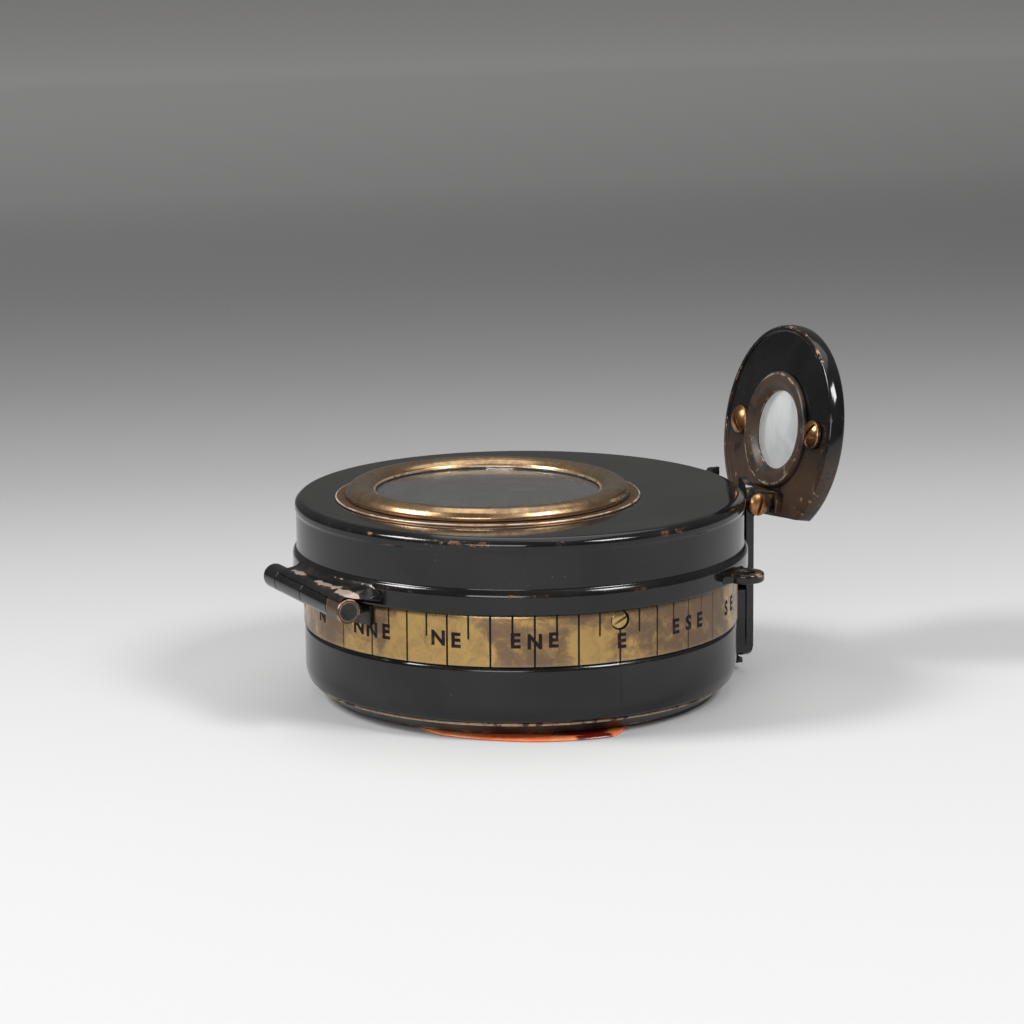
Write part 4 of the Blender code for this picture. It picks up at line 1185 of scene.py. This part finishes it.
def clamp_spot(side):
    """Where a clamp screw stands on the plate: side is 1 for the far one and -1 for the near one."""
    x = 0.3 - side * CLAMP_R * sin(CLAMP_TURN)
    return x, side * CLAMP_R * cos(CLAMP_TURN)


def plate():
    """Round plate with a thin raised rim and a straight lower edge."""
    bore, rim = 6.45, SIGHT_R - 0.95
    profile = [
        (bore, 0, 0.1, 0.5),
        (rim, 0, 0.06, 0.2, 0.8),
        (rim + 0.1, 0.3, 0.08, 1.0),
        (SIGHT_R - 0.25, 0.22, 0.3, 1.0),
        (SIGHT_R, -0.7, 0.5, 0.4),
        (SIGHT_R - 0.1, -2.06, 0.8, 0.8),
        (bore, -2.06, 0.15, 0.5),
    ]
    tools = []
    chord = moved(box((-20, -20, -5), (-CHORD, 20, 5)), Matrix.Rotation(CHORD_TURN, 4, "Z"))
    tools.append((CUT, chord))
    corner = 1.7
    middle_x = corner - CHORD
    middle_y = sqrt((SIGHT_R - corner) ** 2 - middle_x ** 2)
    for side in (-1, 1):
        for lean in (8, 16, 24, 32):
            turn = radians(180 - side * lean)
            reach = cos(turn) * middle_x + sin(turn) * side * middle_y + corner
            clip = moved(box((reach, -20, -5), (30, 20, 5)), Matrix.Rotation(turn + CHORD_TURN, 4, "Z"))
            tools.append((CUT, clip))
    for side in (-1, 1):
        hole = moved(disc(1.0, -5, 3, 0.0, 40), at(*clamp_spot(side), 0))
        tools.append((CUT, hole))
    shape = carved(turned(profile), tools, 0.12, 2, 50)
    layer = mask(shape, "edge")
    turn = Vector((cos(CHORD_TURN), sin(CHORD_TURN), 0))
    for vert in shape.verts:
        if vert.co.dot(turn) < 0.2 - CHORD:
            vert[layer] = 1.0
    moved(shape, PLATE_FRAME)
    keep("sight_disc", shape, SIGHT_PAINT, "sight", ["sight_plate"], 40)


def bracket():
    """Barrel, arm and foot that hang the plate on the pivot."""
    face = 0.05 - SIGHT_REACH
    arm = [(-1.35, 0), (-1.45, face), (1.4, face), (1.3, -0.9), (0.9, 0.2)]
    shape = moved(prism(arm, -2.9, 2.9), ALONG_Y)
    barrel = rod_y(0, 0, -3.45, 3.45, PIVOT_BARREL_R, 0.0, 64)
    foot = box((-1.2, -4.1, face + 0.01), (1.45, 4.1, face + 0.75))
    bore = rod_y(0, 0, -8, 8, 0.8, 0.0, 48)
    tools = [(ADD, barrel), (ADD, foot), (CUT, bore)]
    shape = aged(carved(shape, tools, 0.15, 3, 35))
    moved(shape, SIGHT_FRAME)
    keep("sight_arm", shape, SIGHT_ARM_PAINT, "sight", ["sight_bracket"], 40)


def lens():
    """Cell with its raised ring, the lens, the clamp plate behind and the two screws."""
    profile = [
        (5.2, -0.3, 0.06),
        (5.75, -0.3, 0.0),
        (5.75, -2.2, 0.06),
        (6.35, -2.2, 0.06),
        (6.35, 0.1, 0.0),
        (7.7, 0.1, 0.06, 0.2, 1.0),
        (7.66, 0.5, 0.2, 0.6),
        (7.35, 0.72, 0.2, 1.0),
        (7.05, 0.64, 0.2, 0.3),
        (6.1, 0.56, 0.3, 0.2),
        (5.5, 0.14, 0.15, 0.7),
        (5.2, -0.1, 0.06, 1.0),
    ]
    cell = moved(turned(profile, 192), PLATE_FRAME)
    keep("lens_ring", cell, CELL_PAINT, "sight", ["lens_cell"], 45)
    radius, low, high, bulge = 5.72, -1.4, -0.40, 0.55
    profile = [(0, low - bulge)]
    profile += [(radius * i / 8, low - bulge * (1 - (i / 8) ** 2)) for i in range(1, 9)]
    profile += [(radius * i / 8, high + bulge * (1 - (i / 8) ** 2)) for i in range(8, 0, -1)]
    profile += [(0, high + bulge)]
    shape = moved(turned(profile, 128, closed=False), PLATE_FRAME)
    keep("lens_glass_disc", shape, LENS_GLASS, "sight", ["sight_lens"], 60)

    back, front = -2.75, -2.25
    outline = disc(7.4, back, front, 0.0, 128)
    tools = []
    for side in (-1, 1):
        x, y = clamp_spot(side)
        ear = moved(disc(1.7, back, front, 0.0, 48), at(x, y, 0))
        neck = prism([(x - 1.7, y), (x + 1.7, y), (2.6, y * 0.55), (-2.6, y * 0.55)], back, front)
        tools += [(ADD, ear), (ADD, neck)]
    tools.append((CUT, disc(5.2, back - 1, front + 1, 0.0, 128)))
    shape = aged(carved(outline, tools, 0.08, 2, 35), 0.1)
    moved(shape, PLATE_FRAME)
    keep("lens_clamp_plate", shape, WASHER_BRASS, "sight", ["lens_clamp"], 40)
    for side, name, node, slot_angle in ((1, "clamp_fixing_far", "clamp_screw_far", 35),
                                         (-1, "clamp_fixing_near", "clamp_screw_near", 150)):
        x, y = clamp_spot(side)
        screw = domed_screw(1.85, 1.15, 0.9, 2.8, 0.42, 0.55, slot_angle, 0.62)
        moved(screw, PLATE_FRAME @ at(x, y, 0.1))
        keep(name, screw, SCREW_BRASS, "sight", [node], 40)


# ---- build the object

for build in (lid, window, lug, lid_leaf, case_leaf, case_drum, base, engraved_band, band_letters,
              band_fixing, glass_stack, card, slide_guide, strap, plate, bracket, lens):
    build()

HIDDEN = ((INNER_BRASS, ("pivot_post", "lifter_bracket", "lifter_lever", "card_cap")),
          (BRIGHT_STEEL, ("lifter_pin", "lift_stud", "card_magnet_a", "card_magnet_b")),
          (JEWEL, ("card_jewel",)),
          (CARD_INK, ("sighting_line",)))
for material, nodes in HIDDEN:
    for node in nodes:
        solid = frame["nodes"][node]
        solid.data.materials.clear()
        solid.data.materials.append(material)


# ---- floor, light and camera

CAMERA_PLACE = Vector((-0.23508, -0.48198, 0.13520))
CAMERA_AIM = Vector((-0.00094, 0.00046, 0.02346))
CAMERA_ROLL = radians(-0.397)
# Direction of the floor's painted falloff, turned a little so the right side is painted lighter.
AWAY = Vector((0.22, 0.975, 0.0))
LIGHT_AIM = Vector((0.0, 0.0, 0.015))


def paper(name):
    """Backdrop paper whose colour paints the lamps' falloff: light in front, painted shade behind the object,
    lighter again far off.
    """
    s = Shader(name)
    mottle = s.noise(18, 4, 0.6)
    grain = s.noise(1500, 4, 0.7)
    along = s.vector("DOT_PRODUCT", s.place, AWAY, "Value")
    near, far = -0.2, 0.8
    tone = s.node("ValToRGB", {0: s.math("DIVIDE", s.minus(along, near), far - near)}, "Color")
    ramp = tone.node.color_ramp
    ramp.interpolation = "B_SPLINE"
    # Painted light and shade: these grey steps along AWAY stand in for the lamps' light falling off across
    # the floor.
    painted_falloff_stops = ((-0.16, 0.59), (-0.05, 0.60), (0.02, 0.585), (0.09, 0.50), (0.15, 0.36))
    painted_falloff_stops += ((0.24, 0.235), (0.36, 0.165), (0.50, 0.26), (0.75, 0.66))
    while len(ramp.elements) < len(painted_falloff_stops):
        ramp.elements.new(0.5)
    for element, (where, shade) in zip(ramp.elements, painted_falloff_stops):
        element.position = (where - near) / (far - near)
        element.color = (shade, shade, shade * 1.005, 1.0)
    s.set(Base_Color=s.mix(s.times(mottle, 0.03), tone, (0.5, 0.5, 0.5)))
    s.set(Roughness=s.remap(grain, 0.3, 0.7, 0.62, 0.75), Normal=s.bump(grain, 0.01 * MM, 0.4))
    return s.material


def floor():
    """One large sheet of the paper at the plane the compass rests on."""
    shape = bmesh.new()
    bmesh.ops.create_grid(shape, x_segments=8, y_segments=8, size=3.0)
    standing("floor_sheet", shape, [paper("floor_paper_painted_falloff")])


def camera():
    """The photo's view, fitted to the drum's ellipses."""
    data = bpy.data.cameras.new("camera")
    data.lens = 149.5
    data.sensor_width = 36.0
    data.clip_start = 0.01
    data.dof.use_dof = False
    obj = linked("camera", data)
    forward = (CAMERA_AIM - CAMERA_PLACE).normalized()
    turn = forward.to_track_quat("-Z", "Y").to_matrix().to_4x4()
    roll = Matrix.Rotation(CAMERA_ROLL, 4, "Z")
    obj.matrix_world = Matrix.Translation(CAMERA_PLACE) @ turn @ roll
    bpy.context.scene.camera = obj


def softbox(name, azimuth, elevation, distance, width, height, watts):
    """Rectangular area light; azimuth is measured from the camera's direction, positive to its right."""
    toward = CAMERA_PLACE - CAMERA_AIM
    start = atan2(toward.y, toward.x)
    turn, rise = start + radians(azimuth), radians(elevation)
    place = Vector(around(cos(rise), turn, sin(rise))) * distance + LIGHT_AIM
    data = bpy.data.lights.new(name, "AREA")
    data.shape = "RECTANGLE"
    data.size, data.size_y = width, height
    data.energy = watts
    turn = (LIGHT_AIM - place).to_track_quat("-Z", "Y").to_matrix().to_4x4()
    linked(name, data).matrix_world = Matrix.Translation(place) @ turn


def world():
    """Soft even light, brighter from above."""
    studio = bpy.data.worlds.new("studio")
    studio.use_nodes = True
    nodes, links = studio.node_tree.nodes, studio.node_tree.links
    background = nodes["Background"]
    split = nodes.new("ShaderNodeSeparateXYZ")
    links.new(nodes.new("ShaderNodeTexCoord").outputs["Generated"], split.inputs[0])
    ramp = nodes.new("ShaderNodeMapRange")
    links.new(split.outputs["Z"], ramp.inputs["Value"])
    for name, value in (("From Min", -0.1), ("From Max", 0.9), ("To Min", 0.11), ("To Max", 0.24)):
        ramp.inputs[name].default_value = value
    links.new(ramp.outputs["Result"], background.inputs["Strength"])
    background.inputs["Color"].default_value = (1.0, 0.985, 0.96, 1.0)
    bpy.context.scene.world = studio


floor()
camera()
softbox("left_softbox", -75, 45, 0.55, 0.16, 0.16, 2.1)
softbox("right_softbox", 55, 45, 0.55, 0.15, 0.15, 1.8)
softbox("front_softbox", -12, 20, 0.62, 0.30, 0.20, 1.3)
softbox("top_softbox", 160, 78, 0.55, 0.45, 0.45, 1.0)
world()
bpy.context.scene.view_settings.view_transform = "Standard"
